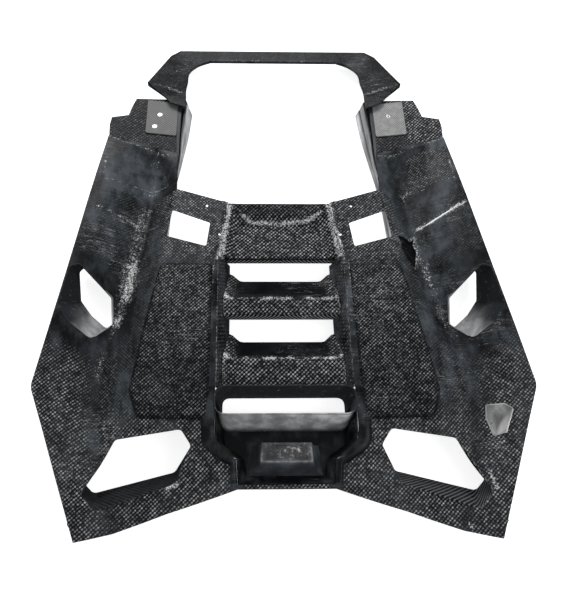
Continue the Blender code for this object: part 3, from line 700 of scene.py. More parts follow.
def grey_skin(context, name, tone=1.0):
    """Glossy grey resin skin, streaked along its length, darkened where accent is set, which is painted shade
    in the ducts and cup.
    """
    colours = context.scene.cover_colours
    f = Finish(name)
    streak = f.noise(24.0, 4.0, stretch=(1.0, 0.2, 1.0))
    grain = f.noise(120.0, 4.0)
    light = shade(colours.grey_resin, tone, 0.9)
    blotch = f.noise(18.0, 6.0, 0.65)
    base = f.mix(f.band(streak, 0.34, 0.66), shade(light, 0.42), light)
    base = f.mix(f.band(blotch, 0.40, 0.66, 0.0, 0.6), base, shade(light, 0.35))
    # Darker where accent is high: painted shade in the ducts and cup.
    base = f.mix(f.accent, base, shade(colours.haze_and_painted_light, 0.34))
    base = f.mix(f.times(f.band(grain, 0.62, 0.75), 0.35), base, colours.dust_and_highlight)
    f.set(Base_Color=base, IOR=1.45, Specular_IOR_Level=0.25)
    f.set(Roughness=f.band(streak, 0.2, 0.8, 0.24, 0.45))
    f.bump(f.plus(streak, f.times(grain, 0.3)), 0.15, 0.0008)
    return f.material


def grey_coat(context, name, tone=1.0):
    """Satin grey coating with a fine cloth print-through painted as sheen, and chipped edges."""
    colours = context.scene.cover_colours
    f = Finish(name)
    tow_light, tow_height = f.cloth(0.0030)
    grain, chips = f.noise(60.0, 5.0), f.noise(210.0, 3.0)
    coat = shade(colours.grey_coat, tone)
    # Bright and dark tows of the print-through: painted sheen.
    base = f.mix(f.times(tow_light, 1.4), shade(coat, 0.40), shade(coat, 1.1))
    base = f.mix(f.band(grain, 0.38, 0.7, 0.0, 0.4 * tone), base, shade(coat, 1.25))
    base = f.mix(f.band(chips, 0.68, 0.74), base, colours.resin)
    f.set(Base_Color=base, IOR=1.45)
    f.set(Roughness=f.band(grain, 0.2, 0.8, 0.38, 0.6))
    f.bump(f.plus(f.times(tow_height, 0.5), grain), 0.25, 0.0004)
    return f.material


def residue_finish(context, name):
    """Black moulding with crusts of old adhesive on its top, and a painted highlight along its lid's edge."""
    colours = context.scene.cover_colours
    f = Finish(name)
    crust, cloud = f.noise(85.0, 6.0, 0.7), f.noise(22.0, 3.0)
    pale = f.times(f.band(crust, 0.5, 0.62), f.accent, f.band(cloud, 0.34, 0.6))
    warm = f.mix(f.band(f.noise(140.0), 0.45, 0.6), (0.34, 0.30, 0.24), colours.dust_and_highlight)
    base = f.mix(f.band(cloud, 0.35, 0.7), shade(colours.haze_and_painted_light, 0.35), shade(colours.haze_and_painted_light, 0.9))
    # Lighter where dust_and_highlight is set: painted highlight along the lid's lower edge.
    base = f.mix(f.times(f.dust_and_highlight, f.band(crust, 0.35, 0.6, 0.3, 1.0)), base, shade(colours.dust_and_highlight, 0.5))
    f.set(Base_Color=f.mix(pale, base, warm), IOR=1.47)
    f.set(Roughness=f.band(crust, 0.3, 0.7, 0.35, 0.7))
    f.bump(f.plus(f.times(pale, 2.0), crust), 0.5, 0.001)
    return f.material


def steel(name):
    f = Finish(name)
    brushed, grain = f.noise(60.0, 3.0, stretch=(1.0, 0.06, 1.0)), f.noise(300.0)
    f.set(Base_Color=f.mix(brushed, (0.46, 0.46, 0.47), (0.74, 0.74, 0.74)), Metallic=1.0)
    f.set(Roughness=f.band(brushed, 0.3, 0.7, 0.24, 0.42))
    f.bump(f.plus(brushed, grain), 0.1, 0.0003)
    return f.material


def foam(name):
    f = Finish(name)
    cells = f.node("TexVoronoi", feature="F1", Vector=f.place, Scale=900.0).outputs["Distance"]
    base = f.mix(f.band(cells, 0.1, 0.6), (0.46, 0.40, 0.24), (0.74, 0.68, 0.46))
    f.set(Base_Color=base, Roughness=f.band(f.noise(80.0), 0.3, 0.7, 0.8, 0.95))
    f.bump(cells, 0.5, 0.001)
    return f.material


# Where dust and painted highlights, weave, and chevrons, crusts and painted shade lie. A dust line is its
# amount, width, share that breaks up, and points.
SHELL_DUST = [
    (0.42, 0.022, 0.0, [(-0.395, 1.06), (-0.424, 0.94), (-0.440, 0.80), (-0.446, 0.68), (-0.47, 0.60)]),
    (0.36, 0.028, 0.0, [(-0.44, 0.78), (-0.45, 0.69)]),
    (0.36, 0.016, 1.0, [(-0.46, 0.60), (-0.50, 0.48), (-0.51, 0.36)]),
    (0.45, 0.022, 0.6, [(0.424, 0.86), (0.440, 0.74), (0.462, 0.62), (0.50, 0.48)]),
    (0.65, 0.004, 0.0, [(-0.549, 0.955), (-0.435, 0.924)]),
    (0.40, 0.010, 0.0, [(0.42, 0.915), (0.57, 0.972)]),
    (0.55, 0.006, 0.0, [(0.372, 0.868), (0.418, 0.889), (0.412, 0.80), (0.40, 0.77)]),
    (0.95, 0.006, 0.0, [(-0.302, 0.128), (-0.276, 0.141)]),
    (0.70, 0.004, 0.0, [(-0.188, 0.205), (-0.182, 0.215)]),
    (0.80, 0.004, 0.0, [(0.508, 0.164), (0.519, 0.120)]),
    (0.80, 0.004, 0.0, [(0.441, 0.035), (0.447, 0.028)])]
SHELL_DUST_BOTH = [
    (0.22, 0.035, 1.0, [(0.50, 0.03), (0.55, 0.16), (0.58, 0.26)]),
    (0.50, 0.010, 0.6, WINDOW[:2]),
    (0.28, 0.020, 1.0, [(0.192, 0.30), (0.230, 0.245), (0.262, 0.20)])]
ARM_DUST = [
    (0.40, 0.020, 0.7, [(-0.395, 1.00), (-0.393, 1.10), (-0.389, 1.15)]),
    (0.36, 0.020, 0.7, [(0.400, 1.00), (0.396, 1.12)])]
ARM_DUST_BOTH = [
    (0.62, 0.0045, 0.4, [(0.545, 1.236), (0.500, 1.220), (0.42, 1.196), (0.36, 1.178), (0.328, 1.182)]),
    (0.40, 0.004, 1.0, [(0.556, 1.045), (0.47, 1.050), (0.40, 1.046)]),
    (0.50, 0.006, 0.0, [(0.551, 1.13), (0.540, 1.125)])]


def dust_along(x, y, patchy, lines, both):
    """Dust along single lines, and along lines that lie on both sides."""
    sided = [(1, line) for line in lines] + [(side, line) for side in (-1, 1) for line in both]
    return sum(amount * glow(x, y, mirrored(points, side), width) * (1 - share + share * patchy)
               for side, (amount, width, share, points) in sided)


def shell_wear_and_painted_light(x, y, z):
    a = np.abs(x)
    patchy = 0.5 + 0.5 * np.sin(31 * x + 17 * y) * np.sin(23 * y - 11 * x + 1.3)
    dust_and_highlight = dust_along(x, y, patchy, SHELL_DUST, SHELL_DUST_BOTH)
    dust_and_highlight += 1.1 * glow(x, y, SLIT[:4], 0.0028) * smooth(x, 0.415, 0.44)
    # Partly dust, partly painted highlight along the ridges at and beside the spine's edge.
    spine = smooth(y, 0.74, 0.78) * glow(a, y, SPINE_EDGE[:2], 0.007)
    dust_and_highlight += spine * (0.75 + 0.25 * np.sin(60 * y + 3 * x))
    beside = glow(a, y, [(0.196, 0.80), (0.200, 0.69)], 0.006)
    dust_and_highlight += 0.5 * smooth(y, 0.66, 0.72) * smooth(y, 0.80, 0.75) * beside
    weave = 0.22 + 0.78 * smooth(y, 0.36, 0.24)
    weave += 0.55 * smooth(y, 0.76, 0.84) * smooth(a, 0.37, 0.33)
    weave += 0.5 * smooth(a, 0.52, 0.58) * smooth(y, 0.56, 0.42)
    weave += 0.25 * smooth(a, 0.43, 0.47) * smooth(y, 0.56, 0.44)
    weave *= smooth(near(a, y, SIDE_DUCT_TOP, closed=True), 0.03, 0.09)
    weave *= 1 - 0.55 * smooth(a, 0.42, 0.46) * smooth(y, 0.62, 0.76)
    weave *= smooth(near(a, y, SPINE_EDGE), 0.010, 0.026) + smooth(y, 0.72, 0.80)
    # Less tow sheen along the creases: painted shade.
    weave *= 1 - 0.75 * glow(a, y, [rail[:2] for rail in CREASE_RAIL], 0.018)
    return dust_and_highlight, weave, 0.0 * x


def arm_wear(x, y, z):
    patchy = 0.5 + 0.5 * np.sin(29 * x + 19 * y + 0.7) * np.sin(37 * y - 13 * x)
    return dust_along(x, y, patchy, ARM_DUST, ARM_DUST_BOTH), 0.14 + 0.0 * x, 0.0 * x


def panel_weave_and_highlight(x, y, z):
    # Painted highlight: a pale patch at the front outer corner of the left panel, and more tow sheen towards
    # the front.
    haze_and_painted_light = 0.30 * np.exp(-(((np.abs(x) - 0.34) / 0.07) ** 2 + ((y - 0.70) / 0.09) ** 2)) * (x < 0)
    edge = smooth(near(np.abs(x), y, PANEL, closed=True), 0.002, 0.014)
    return haze_and_painted_light, (0.25 + 0.75 * edge) * (0.62 + 0.38 * smooth(y, 0.35, 0.65)), 0.0 * x


def box_wear_and_highlight(x, y, z):
    fold = [(-0.11, 0.945), (-0.09, 0.926), (0.0, 0.922), (0.09, 0.932), (0.13, 0.955)]
    # Partly dust, partly painted highlight: the glare line along the fold and the box's side edges.
    bright = glow(x, y, fold, 0.008) + 0.35 * glow(x, y, [(-0.125, 0.93), (-0.118, 0.965)], 0.004)
    bright += 0.9 * smooth(np.abs(x) / (BOX_REACH[0] - 0.15 * (y - BOX_BACK)), 0.86, 0.93)
    weave = smooth(y, 0.797, 0.800) * (1 - 0.5 * smooth(y, 0.93, 0.95))
    return 0.8 * bright, weave, smooth(z, 0.081, 0.078) * smooth(y, 0.802, 0.799)


def slat_wear_and_highlight(ridge, back):
    """Wear of a slat: a pale line along its ridge that is partly dust and partly painted highlight, and
    chevrons on the lip at its back.
    """
    def wear_and_painted_light(x, y, z):
        line = [(-0.165, ridge + 0.012), (-0.145, ridge), (0.145, ridge), (0.165, ridge + 0.012)]
        broken = 0.55 + 0.45 * np.sin(75 * x + 1.0) * np.sin(31 * x)
        dust_and_highlight = glow(x, y, line, 0.007) * broken + 0.4 * smooth(np.abs(x), 0.150, 0.165)
        lip = smooth(y, back + 0.006, back + 0.002)
        weave = 0.9 * smooth(y, ridge + 0.004, ridge - 0.006) * (1 - lip)
        weave += 0.7 * smooth(y, ridge, ridge + 0.02) * smooth(np.abs(x), 0.125, 0.14)
        return dust_and_highlight, weave, lip
    return wear_and_painted_light


def spine_wall_wear_and_highlight(x, y, z):
    # Paler towards the top edge: partly dust, partly painted highlight.
    return 0.45 * smooth(z, 0.095, 0.108), 0.5 * smooth(z, 0.05, 0.08), 0 * x


def rear_duct_shade(x, y, z):
    # Painted shade on the far wall, the sides, the deep floor and a band below the rim's crest.
    shaded = [smooth(y, 0.335, 0.355), smooth(np.abs(x), 0.163, 0.176), smooth(z, 0.050, 0.022),
              0.8 * smooth(z, 0.106, 0.110) * smooth(z, 0.1141, 0.1136)]
    return 0 * x, 0 * x, np.maximum.reduce(shaded)


def pocket_highlight(x, y, z):
    # Painted highlight on the upper walls and on a lighter strip towards the tail.
    return 0.16 * smooth(y, 0.185, 0.165) + 0.20 * smooth(z, 0.07, 0.09), 0 * x, 0 * x


def latch_box_crust_and_highlight(x, y, z):
    # The rim line is a painted highlight along the lid's lower edge. The crust is old adhesive.
    rim = [(-0.064, 0.215), (-0.067, 0.194), (0.067, 0.194), (0.064, 0.230)]
    crust = glow(x, y, [(-0.035, 0.222), (0.040, 0.222)], 0.018)
    return 0.6 * glow(x, y, rim, 0.0025) * smooth(z, 0.070, 0.078), 0 * x, smooth(z, 0.074, 0.078) * crust


def side_duct_shade(x, y, z):
    # Painted shade on the far and outer walls.
    return 0 * x, 0 * x, np.maximum(smooth(y, 0.645, 0.69), smooth(np.abs(x), 0.540, 0.585))


def vent_wear(x, y, z):
    return 0.25 * smooth(z, 0.07, 0.09), 0.15 + 0 * x, np.where(x > 0, 0.75, 0.2)


def cup_shadow(x, y, z):
    # Painted shadow along the upper left wall of the cup.
    return 0 * x, 0 * x, 0.35 * smooth(x, 0.543, 0.537) * smooth(z, 0.066, 0.070)


def flange_wear(x, y, z):
    return 0.25 * glow(np.abs(x), y, FLANGE[3:8], 0.006), 0.25 + 0.7 * smooth(x, 0.42, 0.44), 0 * x


def hoop_wear_and_highlight(x, y, z):
    # Painted highlight along the front and back edges. Dust on the ears and where the hoop is handled.
    rim = glow(x, y, [(-0.34, HOOP_FRONT - 0.003), (0.34, HOOP_FRONT - 0.003)], 0.006)
    rim += glow(x, y, [(-0.22, HOOP_BACK + 0.006), (0.22, HOOP_BACK + 0.006)], 0.005)
    ears = glow(np.abs(x), y, [(0.43, 1.50), (0.31, 1.45)], 0.008)
    handled = glow(np.abs(x), y, [(0.345, 1.46), (0.350, 1.56), (0.300, 1.66)], 0.040)
    return 0.38 * rim + 0.36 * ears + 0.22 * handled, 0.35 + 0 * x, 0 * x


def inner_wall_dark_bands(x, y, z):
    # Darker along a middle line of the right blade, and at the top and foot of each blade.
    share = 1 - z / 0.092
    groove = np.exp(-((share - 0.5) / 0.07) ** 2) * (x > 0)
    return 0 * x, 0 * x, np.maximum.reduce([groove, smooth(share, 0.06, 0.02), smooth(share, 0.93, 0.97)])


# Operators
class COVER_OT_main_shell(bpy.types.Operator):
    """Builds the main shell, with its openings, beads and folds"""
    bl_idname = "cover.main_shell"
    bl_label = "Main Shell"

    def execute(self, context):
        sizes = context.scene.cover_sizes
        surface = relief(context)
        flank = round_corners(TAIL_EDGE[-1:] + FLANK_EDGE, FLANK_CORNER, closed=False)
        outline = both_halves(TAIL_EDGE[:-1] + flank + FRONT_EDGE + SPINE_EDGE)
        openings = ((SIDE_DUCT_TOP, DUCT_CORNER), (VENT_TOP, VENT_CORNER), (WINDOW, WINDOW_CORNER))
        holes = []
        for side in (-1, 1):
            holes += [mirrored(round_corners(loop, radius), side) for loop, radius in openings]
            holes += [circle(side * x, y, SMALL_HOLE, 12) for x, y in SMALL_HOLES]
        holes += [round_corners(CUP_TOP, CUP_CORNER), SLIT, TEAR]

        def lift(x, y):
            rim = near(np.abs(x), y, SPINE_EDGE[:3])
            bead = np.exp(-((rim - BEAD_INSET) / BEAD_SPREAD) ** 2) * smooth(y, 0.24, 0.30)
            return surface(x, y) + sizes.bead_height * bead

        mesh = region(outline, holes, sizes.mesh_step, lift)
        finish = carbon(context, "shell_laminate", light=0.72, haze_and_painted_light=1.35, gloss=0.14)
        add_piece(context, "main_shell_body", mesh, finish, ["main_shell"], wear_and_painted_light=shell_wear_and_painted_light)
        mesh = region(TORN_PLY, [], 0.008,
                      lambda x, y: surface(x, y) - 0.006 - 0.004 * np.abs(np.sin(60 * y + 20 * x)))
        finish = smooth_laminate(context, "torn_ply_finish", 0.5)
        add_piece(context, "torn_ply", mesh, finish, [], THIN_PLY, wear_and_painted_light=even())
        return {"FINISHED"}


class COVER_OT_core_panels(bpy.types.Operator):
    """Builds the two raised sandwich panels"""
    bl_idname = "cover.core_panels"
    bl_label = "Core Panels"

    def execute(self, context):
        finish = carbon(context, "panel_laminate", light=0.6, haze_and_painted_light=0.25, gloss=0.05)
        base = round_corners(PANEL, PANEL_CORNER)

        def lift(x, y):
            depth = near(np.abs(x), y, base, closed=True)
            return DECK + PANEL_FOOT + (CORE - PANEL_FOOT) * smooth(depth, -0.001, PANEL_BEVEL)

        for hand, side in SIDES:
            guides = [mirrored(round_corners(inset(PANEL, PANEL_BEVEL * share), 0.9 * PANEL_CORNER), side)
                      for share in (1 / 3, 2 / 3, 1)]
            mesh = region(mirrored(base, side), [], 0.009, lift, guides)
            add_piece(context, f"{hand}_core_panel_skin", mesh, finish, [f"{hand}_core_panel"],
                      0.5 * SKIN, wear_and_painted_light=panel_weave_and_highlight)
        return {"FINISHED"}


def spanning(profile, reach, rise=0.0, bow=0.0, columns=30):
    """Rows of points of a piece that spans the spine, its ends lifted to rise and bent forwards by bow."""
    fine = spaced(round_corners(profile, 0.010, 4, closed=False), FINE_STEP, closed=False)
    rows = []
    for number, (y, z) in enumerate(fine):
        row = []
        for share in np.linspace(-1, 1, columns + 1):
            end = float(smooth(abs(share), 0.76, 1.0))
            ahead = bow * end * float(smooth(y, profile[-1][0] - 0.07, profile[-1][0]))
            lifted = z + (rise - z) * end if rise > z and number else z
            row.append((share * reach(y, z), y + ahead, lifted))
        rows.append(row)
    return rows


class COVER_OT_spine(bpy.types.Operator):
    """Builds the spine's box, louvre slats and side walls"""
    bl_idname = "cover.spine"
    bl_label = "Spine"

    def execute(self, context):
        finish = carbon(context, "spine_laminate", scale=1.15, light=0.88, haze_and_painted_light=0.15, gloss=0.05,
                        chevron=True)

        def box_reach(y, z):
            return BOX_REACH[0] + (BOX_REACH[1] - BOX_REACH[0]) * max(0.0, y - BOX_BACK) / BOX_LENGTH

        mesh = facing(loft(spanning(BOX_PROFILE, box_reach, rise=DECK - 0.0035)))
        add_piece(context, "spine_box_skin", mesh, finish, ["spine_box"], wear_and_painted_light=box_wear_and_highlight)
        for name, profile, ridge, back in (("front_slat", FRONT_SLAT, 0.664, 0.609),
                                           ("rear_slat", REAR_SLAT, 0.478, 0.380)):
            mesh = facing(loft(spanning(profile, lambda y, z: wall_reach(z - SKIN), bow=0.026)))
            add_piece(context, name + "_skin", mesh, finish, [name],
                      wear_and_painted_light=slat_wear_and_highlight(ridge, back))
        finish = carbon(context, "spine_wall_laminate", scale=1.1, light=0.6, haze_and_painted_light=1.8, gloss=0.15)
        for hand, side in SIDES:
            rows = [[(side * (SPINE_FLOOR_X + t * (SPINE_X - 0.0002 - SPINE_FLOOR_X)), y,
                      SPINE_FLOOR + t * (DECK - SPINE_FLOOR)) for t in np.linspace(0, 1, 9)]
                    for y in np.linspace(*SPINE_WALL_Y, 40)]
            add_piece(context, f"{hand}_spine_wall_skin", facing(loft(rows)), finish, [f"{hand}_spine_wall"],
                      wear_and_painted_light=spine_wall_wear_and_highlight)
        return {"FINISHED"}


def rings_between(top, low, shares):
    """Rings from a top ring to a low ring. Each share says how far across and how far down."""
    return [[tuple(np.array(a) * (1 - s) + np.array(b) * s + np.array((0, 0, (b[2] - a[2]) * (d - s))))
             for a, b in zip(top, low)] for s, d in shares]


def rounded_ring(outline, radius, height):
    ring = round_corners(outline, radius, 6)
    return [(x, y, float(height(x, y)) if callable(height) else height) for x, y in ring]


class COVER_OT_rear_duct(bpy.types.Operator):
    """Builds the oval duct at the rear end of the spine"""
    bl_idname = "cover.rear_duct"
    bl_label = "Rear Duct"

    def execute(self, context):
        top = rounded_ring(REAR_DUCT_TOP, 0.030, 0.1135)
        low = rounded_ring(REAR_DUCT_LOW, 0.022, 0.016)
        rings = [rounded_ring(inset(REAR_DUCT_TOP, -out), radius, height) for out, radius, height in DUCT_RIM]
        rings += rings_between(top, low, [(t, t) for t in np.linspace(0, 1, 14)])
        mesh = facing(loft(rings, closed=True), towards=(0, 0.345, 0.06))
        add_piece(context, "rear_duct_skin", mesh, grey_skin(context, "duct_resin", 2.6), ["rear_duct"],
                  wear_and_painted_light=rear_duct_shade)
        return {"FINISHED"}


def pocket_bead(surface, side):
    """The raised bead beside the latch pocket, widest next to the duct."""
    path = spaced(round_corners(BEAD_PATH, 0.020, 5, closed=False), 0.008, closed=False)
    rows = []
    for i, (x, y) in enumerate(path):
        ahead = Vector(path[min(i + 1, len(path) - 1)]) - Vector(path[max(i - 1, 0)])
        out = Vector((-ahead.y, ahead.x)).normalized()
        width = 0.016 + 0.018 * float(smooth(y, 0.18, 0.25)) * float(smooth(y, 0.386, 0.31))
        row = []
        for share in np.linspace(0, 1, 10):
            px, py = x + out.x * width * share, y + out.y * width * share
            crown = math.sin(math.pi * min(0.95 * share + 0.05, 1.0)) ** 0.8
            row.append((side * px, py, float(surface(px, py)) + BEAD_RISE * crown))
        rows.append(row)
    return facing(loft(rows))


def latch_box():
    """A dished lid on sides that flare out to the pocket's floor."""
    lid = [(x, y, 0.080 + 0.012 * (y - 0.194) / 0.046) for x, y in LATCH_TOP]
    floor_z = POCKET_FLOOR + SKIN + GAP
    rings = [[(x * wide, 0.215 + (y - 0.215) * deep, floor_z + up) for x, y in LATCH_BASE]
             for wide, deep, up in ((1.24, 1.14, 0.0), (1.16, 1.09, 0.006), (1.02, 1.00, 0.022))]
    dishes = [[(wide * x, 0.217 + deep * (y - 0.217), z - down) for x, y, z in lid]
              for wide, deep, down in ((0.80, 0.72, 0.0006), (0.76, 0.66, 0.0032))]
    mesh = loft([*rings, lid, *dishes], closed=True, floor=True)
    with editing(mesh) as bm:
        bm.verts.ensure_lookup_table()
        bm.faces.new([bm.verts[i] for i in range(3, -1, -1)])
        bmesh.ops.subdivide_edges(bm, edges=bm.edges, cuts=5, use_grid_fill=True)
        bmesh.ops.recalc_face_normals(bm, faces=bm.faces)
    return mesh


class COVER_OT_latch(bpy.types.Operator):
    """Builds the pocket behind the rear duct and the latch box that stands in it"""
    bl_idname = "cover.latch"
    bl_label = "Latch Pocket and Box"

    def execute(self, context):
        surface = relief(context)
        top = round_corners([(0.1846, 0.350)] + POCKET_TOP, 0.004, 5, closed=False)
        low = round_corners([(0.1715, 0.340)] + POCKET_LOW, 0.012, 5, closed=False)
        top = [(x * 1.004, y - 0.001 * (y < 0.15), float(surface(x, min(y, 0.28))) - GAP) for x, y in top]
        low = [(x, y, POCKET_FLOOR) for x, y in low]
        top, low = mirrored(top, -1) + top[::-1], mirrored(low, -1) + low[::-1]
        shares = [(0, 0), (0.10, 0.12), (0.3, 0.35), (0.55, 0.60), (0.78, 0.82), (0.90, 0.94), (1.0, 1.0)]
        finish = smooth_laminate(context, "pocket_laminate", 1.7)
        for hand, side in SIDES:
            add_piece(context, f"{hand}_pocket_bead", pocket_bead(surface, side), finish, [],
                      0.5 * SKIN, wear_and_painted_light=even(dust_and_highlight=0.1))
        mesh = facing(loft(rings_between(top, low, shares), floor=True))
        add_piece(context, "latch_pocket_skin", mesh, finish, ["latch_pocket"], offset=1.0,
                  wear_and_painted_light=pocket_highlight)
        add_piece(context, "latch_box_body", latch_box(), residue_finish(context, "latch_box_finish"),
                  ["latch_box"], 0.0, edge=0.003, wear_and_painted_light=latch_box_crust_and_highlight)
        return {"FINISHED"}


def duct_piece(context, node, side, top, low, low_z, radius, finish, wear_and_painted_light):
    """A duct from an opening in the shell to a lower outline."""
    top = rounded_ring(inset(top, DUCT_GAP), radius, relief(context))
    low = rounded_ring(low, 1.4 * radius, low_z)
    rings = rings_between(top, low, [(t, t) for t in np.linspace(0, 1, 12)])
    rings = [mirrored(ring, side) for ring in rings]
    mesh = facing(loft(rings, closed=True), towards=tuple(np.mean(rings[6], axis=0)))
    add_piece(context, node + "_skin", mesh, finish, [node], wear_and_painted_light=wear_and_painted_light)


class COVER_OT_side_ducts(bpy.types.Operator):
    """Builds the hexagonal scoops in the flanks"""
    bl_idname = "cover.side_ducts"
    bl_label = "Side Ducts"

    def execute(self, context):
        finish = grey_skin(context, "scoop_resin", 2.2)
        for hand, side in SIDES:
            duct_piece(context, f"{hand}_side_duct", side, SIDE_DUCT_TOP, SIDE_DUCT_LOW, 0.020, DUCT_CORNER,
                       finish, side_duct_shade)
        return {"FINISHED"}


class COVER_OT_vent_returns(bpy.types.Operator):
    """Builds the sloped returns round the rear vents"""
    bl_idname = "cover.vent_returns"
    bl_label = "Vent Returns"

    def execute(self, context):
        finish = carbon(context, "return_laminate", light=0.5, haze_and_painted_light=0.5, gloss=0.12, chevron=True)
        for hand, side in SIDES:
            duct_piece(context, f"{hand}_vent_return", side, VENT_TOP, VENT_LOW, 0.0016, VENT_CORNER,
                       finish, vent_wear)
        return {"FINISHED"}


class COVER_OT_recess_cup(bpy.types.Operator):
    """Builds the grey cup in the right flank and its screw"""
    bl_idname = "cover.recess_cup"
    bl_label = "Recess Cup"

    def execute(self, context):
        top = rounded_ring(inset(CUP_TOP, DUCT_GAP), CUP_CORNER, relief(context))
        low = rounded_ring(CUP_LOW, 0.008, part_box("recess_cup")[0][2])
        rings = rings_between(top, low, [(0, 0), (0.15, 0.35), (0.45, 0.70), (0.8, 0.93), (1.0, 1.0)])
        mesh = facing(loft(rings, closed=True, floor=True))
        add_piece(context, "recess_cup_skin", mesh, grey_skin(context, "cup_coat", 2.9), ["recess_cup"],
                  offset=1.0, wear_and_painted_light=cup_shadow)
        screw = facing(turned(SCREW_HEAD, *CUP_SCREW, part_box("cup_screw")[0][2]))
        add_piece(context, "cup_screw_head", screw, grey_coat(context, "screw_coat", 2.8), ["cup_screw"],
                  0.0, edge=SHARP_EDGE)
        return {"FINISHED"}


class COVER_OT_arms(bpy.types.Operator):
    """Builds the folded side arms"""
    bl_idname = "cover.arms"
    bl_label = "Arms"

    def execute(self, context):
        surface = relief(context)

        def lift(x, y):
            to_end = near(np.abs(x), y, ARM_END)
            return surface(x, y) - (FLANGE_STEP - 0.0002) * smooth(to_end, 0.012, 0.001)

        finish = carbon(context, "arm_laminate", light=0.6, haze_and_painted_light=2.0, gloss=0.15)
        right_ply = carbon(context, "arm_ply_laminate", scale=0.9, light=0.55, haze_and_painted_light=1.5, gloss=0.18)
        for hand, side in SIDES:
            mesh = region(mirrored(ARM, side), [], FINE_STEP, lift)
            add_piece(context, f"{hand}_arm_skin", mesh, finish, [f"{hand}_arm_channel"],
                      wear_and_painted_light=arm_wear)
            outline = mirrored(ARM_PLY[hand], side)
            mesh = region(outline, [], FINE_STEP, lambda x, y: lift(x, y) + 0.0007)
            add_piece(context, f"{hand}_arm_ply", mesh, right_ply if side > 0 else finish, [],
                      0.0006, edge=0.0002,
                      wear_and_painted_light=lambda x, y, z: (arm_wear(x, y, z)[0] + 0.4 * glow(x, y, outline[:3], 0.004),
                                            (0.2 if side < 0 else 0.9) + 0 * x, 0 * x))
        return {"FINISHED"}


class COVER_OT_arm_ends(bpy.types.Operator):
    """Builds the joggled end flanges, hinge plates and their inserts"""
    bl_idname = "cover.arm_ends"
    bl_label = "Arm Ends"

    def execute(self, context):
        finish = carbon(context, "flange_laminate", scale=1.15, haze_and_painted_light=0.3, gloss=0.08)
        metal = steel("insert_steel")
        for hand, side in SIDES:
            plate_finish = grey_coat(context, f"{hand}_plate_coat", 0.6 if side < 0 else 1.2)
            mesh = region(mirrored(FLANGE, side), [], FINE_STEP, flange_height)
            add_piece(context, f"{hand}_end_flange_skin", mesh, finish, [f"{hand}_arm_end_flange"],
                      wear_and_painted_light=flange_wear)
            holes = [circle(side * x, y, INSERT_RADIUS + GAP) for x, y in INSERTS[hand]]
            mesh = region(mirrored(round_corners(PLATE_BOX, 0.006), side), holes, 0.008,
                          lambda x, y: flange_height(x) + GAP + PLATE)
            add_piece(context, f"{hand}_plate_body", mesh, plate_finish, [f"{hand}_hinge_plate"],
                      PLATE)
            for number, (x, y) in enumerate(INSERTS[hand], 1):
                insert = turned(INSERT_RING, side * x, y, flange_height(x) + GAP)
                with editing(insert) as bm:
                    bmesh.ops.remove_doubles(bm, verts=bm.verts, dist=1e-6)
                    bmesh.ops.recalc_face_normals(bm, faces=bm.faces)
                add_piece(context, f"{hand}_insert_ring_{number}", insert, metal,
                          [f"{hand}_hinge_insert_{number}"], 0.0, edge=SHARP_EDGE)
        return {"FINISHED"}


def hoop_rows(inner, outer, lips, radius=0.005):
    """Cross-sections of the hoop: a crowned band with turned-down lips and rounded edges."""
    rows = []
    turns = (0.4, 0.8, 1.2)
    down = np.array((0.0, 0.0, -1.0))
    for start, end, lip in zip(inner, outer, lips):
        start, end = np.array(start), np.array(end)
        across = (end - start) / np.linalg.norm(end - start)
        r = min(radius, 0.6 * lip)
        row = [start + down * max(0.4 * lip, 1.2 * r), start + down * r]
        row += [start + across * r * (1 - math.cos(t)) + down * r * (1 - math.sin(t)) for t in turns]
        row += [start + (end - start) * share for share in (0.12, 0.28, 0.5, 0.72, 0.88)]
        row += [end - across * r * (1 - math.cos(t)) + down * r * (1 - math.sin(t)) for t in turns[::-1]]
        row += [end + down * r, end + down * lip]
        rows.append([tuple(point) for point in row])
    return rows


def refined(rail, parts, curved=True):
    """A rail with extra points between its stations, on a smooth curve or on straight lines."""
    points = [np.array(p) for p in rail]
    result = []
    for i in range(len(points) - 1):
        a, b = points[i], points[i + 1]
        before, after = points[max(i - 1, 0)], points[min(i + 2, len(points) - 1)]
        for k in range(parts):
            t = k / parts
            place = a + (b - a) * t
            if curved:
                ta, tb = (b - before) / 2, (after - a) / 2
                place = ((2 * t ** 3 - 3 * t * t + 1) * a + (t ** 3 - 2 * t * t + t) * ta
                         + (3 * t * t - 2 * t ** 3) * b + (t ** 3 - t * t) * tb)
            result.append(tuple(place))
    return result + [tuple(points[-1])]


class COVER_OT_hoop(bpy.types.Operator):
    """Builds the front hoop: its bar and its two legs with angular ears"""
    bl_idname = "cover.hoop"
    bl_label = "Hoop"

    def execute(self, context):
        finish = carbon(context, "hoop_laminate", light=0.3, haze_and_painted_light=0.5, gloss=0.12)
        stations = np.linspace(-HOOP_CORNER, HOOP_CORNER, 41)
        back, front = ([(x, y, HOOP_Z) for x in stations] for y in (HOOP_BACK, HOOP_FRONT))
        rows = hoop_rows(back, front, [LEG_LIP[-1]] * len(stations))
        add_piece(context, "hoop_bar_skin", facing(loft(rows)), finish, ["hoop_bar"],
                  wear_and_painted_light=hoop_wear_and_highlight)
        lips = [float(v) for v in np.interp(np.linspace(0, 6, 37), range(7), LEG_LIP)]
        rows = hoop_rows(refined(LEG_INNER, 6), refined(LEG_OUTER, 6, curved=False), lips)
        for hand, side in SIDES:
            mesh = facing(loft([mirrored(row, side) for row in rows]))
            add_piece(context, f"{hand}_hoop_leg_skin", mesh, finish, [f"{hand}_hoop_leg"],
                      wear_and_painted_light=hoop_wear_and_highlight)
        return {"FINISHED"}


